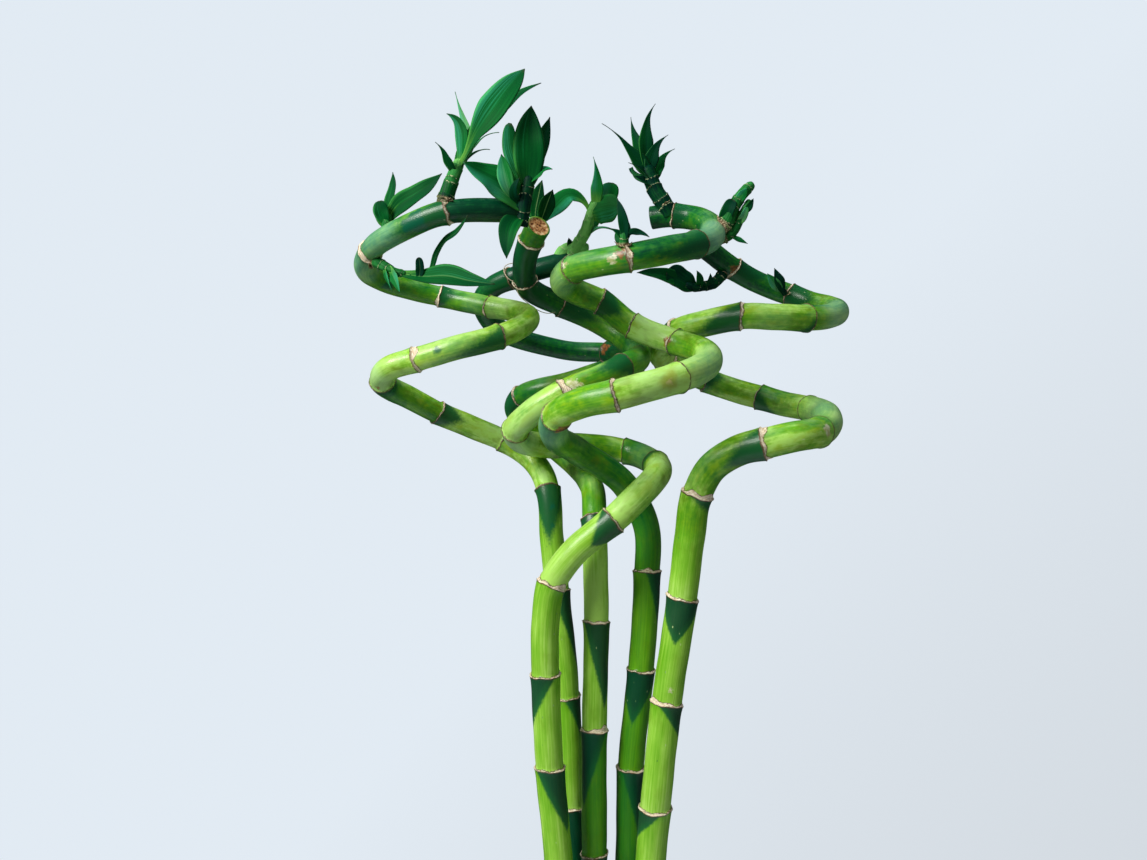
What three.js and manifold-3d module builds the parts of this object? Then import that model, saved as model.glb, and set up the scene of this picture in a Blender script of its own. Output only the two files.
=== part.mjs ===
// Lucky bamboo: five canes, each wound into a helix, with short leafy shoots, held upright in a
// plain vase by a bed of pebbles. Millimetres, +Z up, origin at the centre of the vase's base.
import * as THREE from "three";
import { mergeVertices } from "three/addons/utils/BufferGeometryUtils.js";
import Module from "manifold-3d";

const wasm = await Module();
wasm.setup();

// Vase, a plain slightly flared cylinder
const VASE_HEIGHT = 200;
const VASE_FOOT_RADIUS = 40;
const VASE_RIM_RADIUS = 46;
const VASE_WALL = 4.5;
const VASE_FLOOR = 9;
const VASE_EDGE = 2;
const VASE_SIDES = 48;

// Pebble bed that fills the vase to a little below the rim
const BED_TOP = 180;
const BED_GAP = 0.3;
const PEBBLE_RINGS = [[0, 1], [15, 6], [30.5, 12]];
const PEBBLE_RADIUS = 9.2;
const PEBBLE_SHAPE = [1, 0.82, 0.62];
const PEBBLE_SHIFT = 1.6;
const PEBBLE_LIFT = 0.8;
const PEBBLE_HEAD = 10;
const PEBBLE_SEED = 20;

// Canes and shoots
const CANE_SIDES = 9;
const CANE_GAP = 0.35;
const RING_RISE = 0.75;
const RING_HALF = 1.7;
const RING_SHOULDER = 0.12;
const STEP_TURN = 0.31;
const STEP_LONGEST = 60;
const TURN_CHECKS = 40;
const STEM_SIDES = 7;
const BLADE_THICKNESS = 0.8;
const BLADE_FOLD = 0.28;
const BLADE_TIP = 0.35;
const WIDE_BLADE = 10;
const NARROW_BLADE = 5;

// A cane's route runs through these points; at a ring the cane has a leaf scar
const at = (x, y, z) => ({ place: [x, y, z], isRing: false });
const ring = (x, y, z) => ({ place: [x, y, z], isRing: true });
const cane = (footDiameter, topDiameter, color, route) => ({ footDiameter, topDiameter, color, route });

const CANES = {
  "cane_left": cane(13.2, 10.6, 0x5f9a22, [
    at(-11, 14, 14), at(-13, 17, 205), ring(-14, 18, 258), ring(-16, 18, 313), ring(-21, 18, 365),
    at(-24, 19, 393), ring(-26, 22, 416), at(-33, 34, 429), at(-41, 37.4, 435.5), ring(-50, 37.8, 440.6),
    at(-66, 35, 447.6), ring(-83, 30, 455), at(-97, 21, 463), at(-103.1, 13.5, 466.2),
    ring(-105.7, 4.4, 469.8), at(-100.1, -6.2, 475.1), ring(-87, -9, 479), at(-68, -14, 484),
    ring(-48, -8, 490), at(-36, 10, 499), at(-39, 30, 506), ring(-57, 42, 511), ring(-85, 52, 518),
    at(-100, 47, 521), at(-113, 36, 524), at(-117, 17, 527), ring(-111, 2, 532), at(-92, -18, 538),
    ring(-70, -26, 544), at(-52, -22, 546), at(-40, -16, 547)]),
  "cane_front": cane(13.8, 12.2, 0x6fa82c, [
    at(-14, -13, 14), at(-19, -15, 205), at(-20, -15, 247), ring(-24, -15, 290), ring(-26, -15, 333),
    at(-26, -16, 356), ring(-23, -18, 375), at(-12, -21, 391), ring(5, -22, 405), at(18, -18, 417),
    at(28, 2, 426), ring(28, 18, 429), ring(14, 37, 435), at(-8, 34, 438), at(-26, 25, 438),
    at(-39, 13, 441), ring(-41, 2, 446), at(-34, -8, 453), ring(-18, -14, 463), at(-1, -11, 470),
    ring(10, 0, 476), at(20, 28, 485), at(13, 44, 495), at(-6, 50, 507), ring(-20, 48, 513),
    ring(-38, 32, 523), at(-38, 25, 530), ring(-34, 14, 540), at(-30, 6, 545)]),
  "cane_centre": cane(13.2, 12.4, 0x67a327, [
    at(12, 11, 14), at(13, 9, 205), at(14, 8, 236), ring(15, 8, 281), ring(20, 8, 329),
    ring(23, 8, 377), at(23, 8, 397), at(12, 4, 419), at(-11, -8, 436), at(-21, -28, 443),
    ring(-20, -48, 452), at(-10, -62, 457), ring(4, -68, 460), at(18.2, -65.7, 463.9),
    ring(30.4, -58.1, 467.6), at(42.2, -43.1, 472.6), at(48, -25, 478), at(47, -5, 484), ring(37, 8, 489),
    ring(16, 15, 498), ring(0, 15, 510), at(-12, 9, 514), at(-18, -5, 517), ring(-13, -17, 520),
    at(-1, -28, 521), ring(11, -34, 522), at(29.2, -29.2, 526.4), ring(43.4, -16.7, 531.5),
    at(52, -2, 537.2), at(56, 14, 544), at(55, 34, 554), at(50, 42, 558), ring(41, 46, 560),
    at(29, 50, 560)]),
  "cane_right": cane(15.0, 12.4, 0x6aa524, [
    at(14, -12, 14), at(20, -12, 205), at(23, -12, 246), ring(25, -14, 271), ring(30, -16, 320),
    ring(37, -18, 369), at(40, -20, 396), ring(43, -24, 417), at(49, -28, 429), at(60, -34, 437),
    ring(70, -38, 440), at(83, -38, 443), ring(98, -24, 445), at(110, 4, 452), ring(110, 36, 457),
    at(101, 52, 460), ring(89, 60, 464), at(75, 65.4, 468.4), ring(60.4, 67.1, 474), at(47.7, 64.4, 479.8),
    ring(37, 56, 484), at(33, 45, 487), at(34, 34, 491), ring(40, 23, 496), at(54, 12, 499),
    ring(68, 4, 501), at(86, 6, 501), ring(102.3, 14.4, 501.5), at(116.3, 26.6, 503.9), at(126, 42, 508),
    at(128, 64, 514), at(121.8, 76.1, 518), ring(111.4, 83.7, 523.8), at(95.1, 88, 531.2), ring(79, 84, 539),
    at(66, 76, 546), at(57, 66, 550)]),
  "cane_back": cane(12.6, 11.4, 0x4d8f22, [
    at(0, 0, 14), at(-3, 0, 205), ring(-3, 0, 243), ring(-3, 0, 302), ring(-2, 0, 354),
    ring(-3, 1, 403), at(-3, 9, 413), at(-6, 28, 421), at(-13, 46, 428), at(-24, 54, 437),
    at(-36, 54, 447), at(-43.6, 47.9, 456.3), ring(-40, 37.6, 463.3), at(-30.6, 30.9, 466.7),
    at(-19, 28, 469), ring(2, 30, 475),
    at(11, 36, 476), at(18, 47, 478), at(21, 61, 483), at(17, 82, 489), ring(6, 98, 492),
    at(-12, 104, 493), at(-34, 100, 497), at(-52, 87, 502), at(-61, 75, 509), at(-63, 63, 517),
    at(-57, 53, 523), ring(-46, 47, 527), at(-36, 45, 530), at(-25, 44, 533), at(-16, 44, 535)]),
};

// A stem runs from inside its cane; a leaf runs from inside its stem to its tip, and face is the
// way that its upper side looks
const stem = (route, baseRadius, topRadius) => ({ route, baseRadius, topRadius });
const leaf = (route, width, face, shape = "oval") => ({ route, width, face, shape });

const SHOOTS = {
  "shoot_tall": [
    [stem([[-71.5, -26, 545], [-70, -27, 551], [-68, -27, 557], [-66, -26, 563], [-64, -25, 568]], 4.2, 2.6)],
    [
      leaf([[-65.5, -26, 563], [-62, -28, 568], [-56, -31, 578], [-49, -33, 587], [-44, -31, 595],
        [-35, -25, 609]], 15.2, [-0.2, -1, 0.2], "waisted"),
      leaf([[-65, -24, 566], [-59.5, -18, 583], [-48.5, -12, 594], [-36, -12, 604], [-28, -14, 607]],
        7.6, [-0.2, -1, 0.6], "late"),
      leaf([[-67, -26.5, 560], [-64.4, -25, 565], [-63.4, -23, 575], [-64, -21.5, 582.4], [-66.5, -20.5, 587.6],
        [-71, -20, 590.6]], 6.4, [-0.5, -1, 0.1], "late"),
      leaf([[-65, -24, 564], [-62, -16, 580], [-65, -10, 593], [-67, -8, 599], [-69, -6, 606]],
        6.5, [-0.6, -1, 0.2], "pointed"),
      leaf([[-66, -27, 561], [-69, -31, 566], [-71, -33, 570], [-74, -34, 573]],
        4.2, [-0.4, -1, 0.3], "pointed"),
      leaf([[-64, -26.5, 563], [-60.5, -27.5, 567.5], [-55, -30, 570.5], [-50, -33, 570]],
        3.8, [0, -0.4, 1], "pointed"),
      leaf([[-65, -24, 566], [-58, -20, 576], [-53, -19, 581], [-47, -20, 582]],
        3.4, [0, -0.4, 1], "pointed"),
      leaf([[-66, -24, 564], [-63.5, -14, 576], [-60, -5, 588], [-56, 2, 599]], 7, [0, 1, 0.4]),
    ],
  ],
  "shoot_upper_left": [
    [stem([[-99, -10, 537], [-100, -12, 541], [-99, -12, 544], [-99, -12, 547]], 3.2, 2.2)],
    [
      leaf([[-99, -12, 543.5], [-94, -14.5, 549.5], [-86, -17, 554], [-79, -19, 558.2], [-73, -21, 563]],
        10.4, [-0.2, -1, 0.2]),
      leaf([[-99, -12, 544], [-99, -10, 554], [-98, -8, 561], [-98.5, -6, 568]], 5.2, [-0.3, -1, 0]),
      leaf([[-100, -12, 541], [-101.5, -14.5, 546], [-102.4, -15.5, 552]], 7.5, [-0.3, -1, 0.2], "blunt"),
      leaf([[-99, -11, 544], [-101.5, -3, 551], [-102.5, 3, 557], [-103, 6, 561]], 4.6, [0, 1, 0.5]),
    ],
  ],
  "shoot_trailing": [
    [stem([[-113, 8, 531], [-108, 1, 527], [-103, -3, 524], [-98, -5, 521], [-92, -6.6, 520]], 3.6, 1.8)],
    [
      leaf([[-99, -5, 521], [-84, -9.5, 518], [-72, -14, 517.5], [-60.5, -18, 514.5], [-48.7, -21, 512.5]],
        10.6, [0.1, -1, 0.35], "late"),
      leaf([[-90, -7.4, 519.4], [-81, -9.2, 520], [-76.5, -13, 528], [-72, -19, 532.5], [-65, -28, 535],
        [-59.5, -35, 540.5]], 4.6, [-0.5, -1, 0.3], "late"),
      leaf([[-86, -8, 517], [-84.8, -10.5, 522], [-85.3, -12, 526.5]], 4, [0, -1, 0.1], "blunt"),
      leaf([[-101, -4, 524], [-97, -9, 517], [-94, -12, 510]], 4.6, [-0.3, -1, -0.2]),
      leaf([[-103, -3, 524], [-101, -8, 518], [-98, -10, 511]], 2.8, [-0.5, -1, -0.2], "pointed"),
    ],
  ],
  "shoot_dark": [
    [
      stem([[-41, -16, 546.5], [-38.5, -17, 546.5], [-35.8, -18, 547]], 4.6, 3.6),
      stem([[-37.6, -17, 540], [-36.4, -18, 546], [-35.2, -19, 552], [-34, -19, 558], [-33, -19, 563]], 3.7, 3),
    ],
    [
      leaf([[-34, -19, 558], [-33, -24, 568], [-33, -27, 577], [-32, -26, 592]], 14.6, [0, -1, 0.1]),
      leaf([[-35, -18, 557], [-39, -16, 568], [-42, -15, 578], [-42, -18, 587]], 8, [-0.4, -1, 0], "blunt"),
      leaf([[-33, -18, 559], [-30, -14, 572], [-27, -12, 583], [-24, -12, 592]], 7.6, [0.4, -1, 0], "late"),
      leaf([[-34, -19, 558], [-30, -22, 561.5], [-26.5, -23.5, 564], [-22.5, -24, 564]],
        4.4, [0, -1, 0.5], "late"),
      leaf([[-36, -18, 549], [-43, -22, 554.5], [-50, -26, 558.6], [-56, -29, 561.5], [-62, -32, 565]],
        15.5, [-0.2, -1, 0.5], "broad"),
      leaf([[-38, -19, 550], [-42, -24, 555], [-44, -25.5, 562], [-45.5, -25, 570.5]],
        7.4, [-0.1, -1, 0], "late"),
      leaf([[-37, -19, 549], [-40, -25, 554], [-37, -28, 559]], 4.4, [-0.3, -1, 0.1]),
      leaf([[-37, -18, 544], [-41.5, -25, 538], [-42.6, -27, 531.5], [-43, -27, 523]],
        9.6, [-0.2, -1, -0.1]),
      leaf([[-35, -17, 557], [-35, -7, 568], [-36, 0, 578], [-39, 4, 585]], 8, [0, 1, 0.3]),
    ],
  ],
  "shoot_cut_top": [
    [stem([[-33, 16, 539], [-32, 20, 544], [-31, 22, 549], [-31, 22, 555]], 2.4, 1.6)],
    [
      leaf([[-32, 22, 548], [-32, 20, 556], [-30.5, 18, 563], [-28.6, 16, 570.5]], 8.4, [-0.4, -1, 0], "late"),
      leaf([[-31, 22, 548], [-28, 20, 555], [-26, 18, 560], [-23.3, 15, 565.5]], 8.6, [0.4, -1, 0.1], "late"),
      leaf([[-31, 22, 548], [-33, 27, 556], [-35, 32, 563], [-35, 35, 570]], 5.6, [0, 1, 0.2]),
    ],
  ],
  "shoot_back": [
    [
      stem([[-18, 44, 535], [-12, 41, 542], [-7, 36, 549], [-4, 32, 557], [-1, 28, 563]], 3.8, 2.6),
      stem([[-20, 44, 537], [-17, 43, 541], [-11, 42, 542], [-5, 41, 541.5]], 4.2, 3),
    ],
    [
      leaf([[-2, 29, 559], [-1, 26, 567], [-1, 24, 575], [-3, 22, 584]], 6.8, [-0.2, -1, 0], "pointed"),
      leaf([[-5.5, 32, 557], [-1.5, 27, 558], [4, 23, 558.6], [9.5, 20, 558.6]], 14.4, [-0.2, 1, 0], "blunt"),
      leaf([[-2, 31, 558], [2, 31, 563], [5, 30, 568], [6.2, 29, 573]], 10.5, [0.1, -1, 0.1], "blunt"),
      leaf([[-4.5, 33, 557.5], [-9, 32, 565], [-14.5, 31, 566.5], [-20, 29, 561.8], [-27, 27, 552.5]],
        12.5, [-0.2, -1, 0.45], "waisted"),
      leaf([[-11, 40, 543.5], [-6, 37, 547.5], [2, 28, 549.5], [9.5, 21, 545]], 4.4, [0, -0.8, 0.6], "pointed"),
      leaf([[-14, 42, 542], [-15, 39, 544.5], [-15.5, 37.5, 546.5]], 3.6, [0, -1, 0]),
      leaf([[-5, 35, 550], [-3, 44, 555], [0, 51, 561], [3, 56, 567]], 6.4, [0, 1, 0.4]),
      leaf([[-3, 31, 558], [3, 38, 564], [6, 45, 570], [7, 50, 576]], 6.4, [0.3, 1, 0.3]),
    ],
  ],
  "shoot_spike": [
    [stem([[10, -35, 523], [9, -38, 529], [9, -39, 533]], 2.8, 1.8)],
    [
      leaf([[9, -38, 528], [9, -41, 534], [8, -42, 539], [6, -41, 546]], 4.6, [-0.3, -1, 0.1]),
      leaf([[9, -38, 528], [12, -38, 532], [15, -38, 532], [20, -39, 530]], 4.8, [0, -0.8, 0.8]),
      leaf([[9, -38, 528], [11, -37, 534], [10, -36, 540]], 3, [0.6, -1, 0], "pointed"),
      leaf([[9, -38, 528.5], [6, -39, 532], [2, -39.5, 534]], 3.6, [0, -1, 0.7], "pointed"),
      leaf([[9, -37, 528], [7, -31, 532], [7, -27, 536]], 4, [-0.2, 1, 0.6]),
    ],
  ],
  "shoot_crown": [
    [stem([[38, 45, 560], [35, 44, 566], [31, 44, 572], [28, 44, 579], [26, 44, 586]], 4.9, 4)],
    [
      leaf([[28, 44, 580], [22, 41.5, 587], [16.4, 39, 593], [11, 37, 599], [1.7, 34, 605]],
        8.4, [-0.4, -1, 0.6], "drawn"),
      leaf([[27, 44, 582], [24, 45, 591], [21.2, 46, 599], [19, 48, 606], [17.8, 50, 614]],
        7.8, [-0.2, -1, 0.2], "pointed"),
      leaf([[26, 44, 584], [24.8, 40, 596], [25, 38, 604], [26.3, 37, 610], [29.7, 36, 616]],
        8.2, [0.2, -1, 0.1], "pointed"),
      leaf([[27, 44, 580], [28.2, 42, 589.5], [31.3, 40, 596], [36.6, 38, 600.5]],
        7.8, [0.3, -1, 0.4], "pointed"),
      leaf([[29, 44, 577], [32, 46, 586], [35.6, 48, 592.5], [41.4, 50, 597]],
        6.8, [0.2, -0.8, 0.8], "pointed"),
      leaf([[29, 44, 577], [22, 39, 583], [15.6, 35, 585]], 6.6, [-0.3, -0.8, 0.8], "pointed"),
      leaf([[30, 44, 574], [24, 40, 577], [18.6, 38, 579]], 5.6, [-0.3, -0.8, 0.7]),
      leaf([[27, 45, 581], [23, 55, 592], [22, 63, 600], [24, 70, 606]], 7.4, [0, 1, 0.3]),
      leaf([[28, 45, 578], [32, 55, 587], [33, 64, 594], [33, 72, 598]], 6.6, [0.3, 1, 0.4]),
      leaf([[28, 45, 577], [23, 54, 584], [20, 62, 589], [18, 69, 592]], 6.2, [-0.4, 1, 0.5]),
    ],
  ],
  "shoot_stubs": [
    [
      stem([[57, 15, 544], [62.5, 13, 549], [66, 13, 556], [70, 13, 562], [76, 13, 568]], 4.4, 2.5),
      stem([[58, 17, 541], [66, 15, 544.5], [70, 14, 552], [72.4, 13, 556], [74, 13, 560]], 3.2, 1.8),
    ],
    [
      leaf([[61, 13.5, 547], [62.5, 10, 553], [65.5, 9.5, 559]], 6.6, [-0.2, -1, 0], "blunt"),
      leaf([[66, 13, 556], [69.5, 10.5, 561], [72.5, 10, 565]], 4.8, [0.1, -1, 0], "late"),
      leaf([[68, 14, 548], [71, 11.5, 552], [72.6, 11, 557]], 4.2, [0.3, -1, 0]),
      leaf([[71, 13, 553], [73.6, 11, 556.5], [75.6, 11, 560]], 3.8, [0.4, -1, 0]),
      leaf([[65, 16, 543], [69, 13, 540], [73, 12, 538]], 3, [0, -1, 0.4]),
    ],
  ],
  "shoot_low_right": [
    [stem([[72, 80, 535], [66, 77, 529], [60, 73, 527], [54, 70, 526], [49, 68, 527]], 3.4, 2.4)],
    [
      leaf([[52, 69, 526], [43, 66, 530], [35, 64, 532], [22, 64, 533]], 8.6, [0, -1, 0.3]),
      leaf([[54, 70, 526], [48, 67, 529], [43, 66, 532], [39, 65, 534.5]], 12.4, [0.1, -1, 0.1], "blunt"),
      leaf([[57, 71, 526], [57, 66, 530], [55, 63, 534]], 4.6, [0, -1, 0.1]),
      leaf([[62, 74, 527], [63, 68, 529], [63, 66, 533]], 4.6, [0.3, -1, 0]),
      leaf([[55, 70, 526], [54, 80, 528], [51, 90, 532], [47, 96, 534]], 6, [0, 0.6, 1]),
    ],
  ],
  "shoot_leaflet": [
    [stem([[109, 82, 524], [106, 77, 525], [104, 75, 527]], 2.2, 1.5)],
    [
      leaf([[106, 77, 524], [103, 73, 529], [100, 72, 537]], 6.6, [0.3, -1, 0]),
      leaf([[105, 76, 525], [100, 73, 529], [96, 72, 534]], 6, [-0.3, -1, 0]),
    ],
  ],
};

const SHOOT_COLORS = { "shoot_dark": 0x0f4a2c, "shoot_crown": 0x17532f, "shoot_stubs": 0x2f6b33 };
const LEAF_COLOR = 0x1f6b2b;

// Smooth curve through the points: near-circular arcs, sampled finely. Gives places, their
// directions, their distances along the curve, and the distance of each given point.
function strand(points) {
  const places = points.map((p) => new THREE.Vector3(...p));
  const chords = places.slice(1).map((p, i) => p.clone().sub(places[i]));
  const lengths = chords.map((c) => c.length());
  const headings = chords.map((c) => c.clone().normalize());
  const last = places.length - 1;
  const tangents = places.map((_, i) => (i === 0 || i === last
    ? new THREE.Vector3()
    : headings[i - 1].clone().multiplyScalar(lengths[i]).addScaledVector(headings[i], lengths[i - 1]).normalize()));
  tangents[0] = headings[0].clone().multiplyScalar(2).sub(tangents[1]).normalize();
  tangents[last] = headings[last - 1].clone().multiplyScalar(2).sub(tangents[last - 1]).normalize();
  const samples = [];
  const pointIndex = [];
  for (let i = 0; i < last; i += 1) {
    const turn = tangents[i].angleTo(tangents[i + 1]);
    const reach = lengths[i] * (turn < 0.001 ? 1 : (2 * Math.tan(turn / 4)) / Math.sin(turn / 2));
    const steps = Math.max(4, Math.ceil(lengths[i]));
    pointIndex.push(samples.length);
    for (let s = 0; s < steps; s += 1) samples.push(hermite(places, tangents, i, reach, s / steps));
  }
  pointIndex.push(samples.length);
  samples.push(places[last].clone());
  const along = [0];
  for (let i = 1; i < samples.length; i += 1) along.push(along[i - 1] + samples[i].distanceTo(samples[i - 1]));
  return { samples, along, pointDistances: pointIndex.map((i) => along[i]), length: along[along.length - 1] };
}

function hermite(places, tangents, i, reach, t) {
  const t2 = t * t;
  const t3 = t2 * t;
  return places[i].clone().multiplyScalar(2 * t3 - 3 * t2 + 1)
    .addScaledVector(tangents[i], reach * (t3 - 2 * t2 + t))
    .addScaledVector(places[i + 1], 3 * t2 - 2 * t3)
    .addScaledVector(tangents[i + 1], reach * (t3 - t2));
}

// Place and direction at a distance along a strand
function pointOn(line, distance) {
  const { samples, along } = line;
  let i = 1;
  while (i < samples.length - 1 && along[i] < distance) i += 1;
  const t = (distance - along[i - 1]) / (along[i] - along[i - 1]);
  const heading = samples[i].clone().sub(samples[i - 1]).normalize();
  return { place: samples[i - 1].clone().lerp(samples[i], t), heading };
}

// Distances of the cross-sections: at both ends, around each ring, and wherever the strand has
// turned enough since the last one
function sectionDistances(line, ringDistances) {
  const fixed = [0, line.length];
  for (const d of ringDistances) fixed.push(d - RING_HALF, d, d + RING_HALF);
  fixed.sort((a, b) => a - b);
  const result = [];
  for (let i = 0; i < fixed.length - 1; i += 1) {
    const span = fixed[i + 1] - fixed[i];
    let turned = 0;
    for (let s = 1; s <= TURN_CHECKS; s += 1) {
      const before = pointOn(line, fixed[i] + (span * (s - 1)) / TURN_CHECKS).heading;
      const after = pointOn(line, fixed[i] + (span * s) / TURN_CHECKS).heading;
      turned += before.angleTo(after);
    }
    const pieces = Math.max(1, Math.round(turned / STEP_TURN), Math.ceil(span / STEP_LONGEST));
    for (let s = 0; s < pieces; s += 1) result.push(fixed[i] + (span * s) / pieces);
  }
  result.push(line.length);
  return result;
}

// Solid from rings of points that all have the same count, closed by fans at both ends
function solidFromRings(rings) {
  const count = rings[0].length;
  const positions = rings.flat().flatMap((p) => [p.x, p.y, p.z]);
  const faces = [];
  for (let r = 0; r < rings.length - 1; r += 1) {
    for (let i = 0; i < count; i += 1) {
      const a = r * count + i;
      const b = r * count + ((i + 1) % count);
      faces.push(a, b, b + count, a, b + count, a + count);
    }
  }
  const end = (rings.length - 1) * count;
  for (let i = 1; i < count - 1; i += 1) {
    faces.push(0, i + 1, i);
    faces.push(end, end + i, end + i + 1);
  }
  return toManifold(positions, faces);
}

function toManifold(positions, faces) {
  return new wasm.Manifold(new wasm.Mesh({
    numProp: 3,
    vertProperties: Float32Array.from(positions),
    triVerts: Uint32Array.from(faces),
  }));
}

// Round tube along a strand; grow widens it and lengthens it at both ends
function tube(line, distances, sides, radiusAt, grow = 0) {
  let across = null;
  const rings = distances.map((distance, index) => {
    const { place, heading } = pointOn(line, distance);
    if (across === null) across = Math.abs(heading.y) > 0.9 ? new THREE.Vector3(1, 0, 0) : new THREE.Vector3(0, 1, 0);
    across.addScaledVector(heading, -across.dot(heading)).normalize();
    const other = heading.clone().cross(across);
    const shift = index === 0 ? -grow : index === distances.length - 1 ? grow : 0;
    const radius = radiusAt(distance) + grow;
    return Array.from({ length: sides }, (_, k) => {
      const angle = (2 * Math.PI * k) / sides;
      return place.clone().addScaledVector(heading, shift)
        .addScaledVector(across, radius * Math.cos(angle))
        .addScaledVector(other, radius * Math.sin(angle));
    });
  });
  return solidFromRings(rings);
}

// A cane tapers evenly and stands out a little at each ring
function caneSolid({ footDiameter, topDiameter, route }, grow) {
  const line = strand(route.map((stop) => stop.place));
  const ringDistances = line.pointDistances.filter((_, i) => route[i].isRing);
  const radiusAt = (distance) => {
    const nearest = Math.min(...ringDistances.map((d) => Math.abs(d - distance)));
    const rise = nearest < 0.01 ? RING_RISE : nearest < RING_HALF + 0.01 ? RING_SHOULDER : 0;
    return THREE.MathUtils.lerp(footDiameter, topDiameter, distance / line.length) / 2 + rise;
  };
  return tube(line, sectionDistances(line, ringDistances), CANE_SIDES, radiusAt, grow);
}

// Outlines of blades: where a blade is widest, its share of that width at the base, how slowly it
// widens, and the loss, bend and draw of its tip
const outline = (widest, base, swell, loss, bend, draw) => ({ widest, base, swell, loss, bend, draw });
const OUTLINES = {
  "oval": outline(0.42, 0.42, 1, 1, 1.9, 1),
  "late": outline(0.6, 0.25, 1.5, 1, 1.6, 1),
  "waisted": outline(0.6, 0.16, 3.5, 1, 1.9, 1),
  "broad": outline(0.42, 0.65, 1, 1, 2, 1),
  "pointed": outline(0.42, 0.42, 1, 1, 1, 1.35),
  "drawn": outline(0.3, 0.6, 1, 1, 1, 2.1),
  "blunt": outline(0.42, 0.5, 1, 0.72, 3, 0.5),
};

// Half width of a blade as a share of its largest, from base (0) to tip (1)
function bladeShare(u, { widest, base, swell, loss, bend, draw }) {
  if (u < widest) return THREE.MathUtils.lerp(base, 1, Math.sin(((u / widest) * Math.PI) / 2) ** swell);
  return (1 - loss * ((u - widest) / (1 - widest)) ** bend) ** draw;
}

// Thin blade folded along its midrib, its two faces split into triangles alike
function bladeSolid({ route, width, face, shape }) {
  const line = strand(route);
  const spans = width > WIDE_BLADE ? 6 : width > NARROW_BLADE ? 4 : 3;
  const up = new THREE.Vector3(...face).normalize();
  const rings = [];
  for (let s = 0; s <= spans; s += 1) {
    const u = s / spans;
    const { place, heading } = pointOn(line, line.length * u);
    const side = heading.clone().cross(up).normalize();
    const normal = side.clone().cross(heading).normalize();
    const half = Math.max(BLADE_TIP, (width / 2) * bladeShare(u, OUTLINES[shape]));
    const edge = (sign, lift) => place.clone().addScaledVector(side, sign * half)
      .addScaledVector(normal, half * BLADE_FOLD + lift);
    const middle = (lift) => place.clone().addScaledVector(normal, lift);
    const t = BLADE_THICKNESS / 2;
    rings.push([edge(-1, t), middle(t), edge(1, t), edge(1, -t), middle(-t), edge(-1, -t)]);
  }
  return bladeFromRings(rings);
}

function bladeFromRings(rings) {
  const positions = rings.flat().flatMap((p) => [p.x, p.y, p.z]);
  const faces = [];
  const quad = (a, b, c, d) => faces.push(a, b, c, a, c, d);
  for (let r = 0; r < rings.length - 1; r += 1) {
    const a = r * 6;
    const b = a + 6;
    for (const [left, right] of [[0, 1], [1, 2]]) {
      quad(a + left, a + right, b + right, b + left);
      quad(a + 5 - left, b + 5 - left, b + 5 - right, a + 5 - right);
    }
    quad(a + 2, a + 3, b + 3, b + 2);
    quad(a + 5, a, b, b + 5);
  }
  for (const [left, right] of [[0, 1], [1, 2]]) {
    const end = (rings.length - 1) * 6;
    quad(left, 5 - left, 5 - right, right);
    quad(end + left, end + right, end + 5 - right, end + 5 - left);
  }
  return toManifold(positions, faces);
}

// Stems and blades in one body, trimmed just clear of the canes
function shootSolid([stems, leaves], clearance) {
  let solid = null;
  const join = (piece) => { solid = solid === null ? piece : solid.add(piece); };
  for (const { route, baseRadius, topRadius } of stems) {
    const line = strand(route);
    const radiusAt = (distance) => THREE.MathUtils.lerp(baseRadius, topRadius, distance / line.length);
    join(tube(line, sectionDistances(line, []), STEM_SIDES, radiusAt));
  }
  leaves.forEach((blade) => join(bladeSolid(blade)));
  for (const cut of clearance) solid = solid.subtract(cut);
  const bodies = solid.decompose();
  return bodies.reduce((best, body) => (body.volume() > best.volume() ? body : best));
}

function geometryToManifold(geometry) {
  const plain = geometry.clone();
  plain.deleteAttribute("normal");
  plain.deleteAttribute("uv");
  const merged = mergeVertices(plain, 0.001);
  const faces = [];
  for (let i = 0; i < merged.index.count; i += 3) {
    const [a, b, c] = [0, 1, 2].map((k) => merged.index.getX(i + k));
    if (a !== b && b !== c && c !== a) faces.push(a, b, c);
  }
  return toManifold(Array.from(merged.attributes.position.array), faces);
}

function manifoldToGeometry(solid) {
  const mesh = solid.getMesh();
  const geometry = new THREE.BufferGeometry();
  const positions = [];
  for (let i = 0; i < mesh.numVert; i += 1) {
    for (let k = 0; k < 3; k += 1) positions.push(mesh.vertProperties[i * mesh.numProp + k]);
  }
  geometry.setAttribute("position", new THREE.Float32BufferAttribute(positions, 3));
  geometry.setIndex(Array.from(mesh.triVerts));
  geometry.computeVertexNormals();
  return geometry;
}

// Solid of revolution about Z from [radius, height] pairs that start and end on the axis
function turned(profile) {
  const points = profile.map(([r, z]) => new THREE.Vector2(r, z));
  return geometryToManifold(new THREE.LatheGeometry(points, VASE_SIDES).rotateX(Math.PI / 2));
}

function outerRadius(z) {
  return THREE.MathUtils.lerp(VASE_FOOT_RADIUS, VASE_RIM_RADIUS, z / VASE_HEIGHT);
}

function vaseSolid() {
  const inner = (z) => outerRadius(z) - VASE_WALL;
  return turned([
    [0, 0], [VASE_FOOT_RADIUS - VASE_EDGE, 0], [outerRadius(VASE_EDGE), VASE_EDGE],
    [outerRadius(VASE_HEIGHT - VASE_EDGE), VASE_HEIGHT - VASE_EDGE],
    [VASE_RIM_RADIUS - VASE_EDGE * 0.7, VASE_HEIGHT], [inner(VASE_HEIGHT) + VASE_EDGE * 0.7, VASE_HEIGHT],
    [inner(VASE_HEIGHT - VASE_EDGE), VASE_HEIGHT - VASE_EDGE],
    [inner(VASE_FLOOR), VASE_FLOOR], [0, VASE_FLOOR],
  ]);
}

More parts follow.
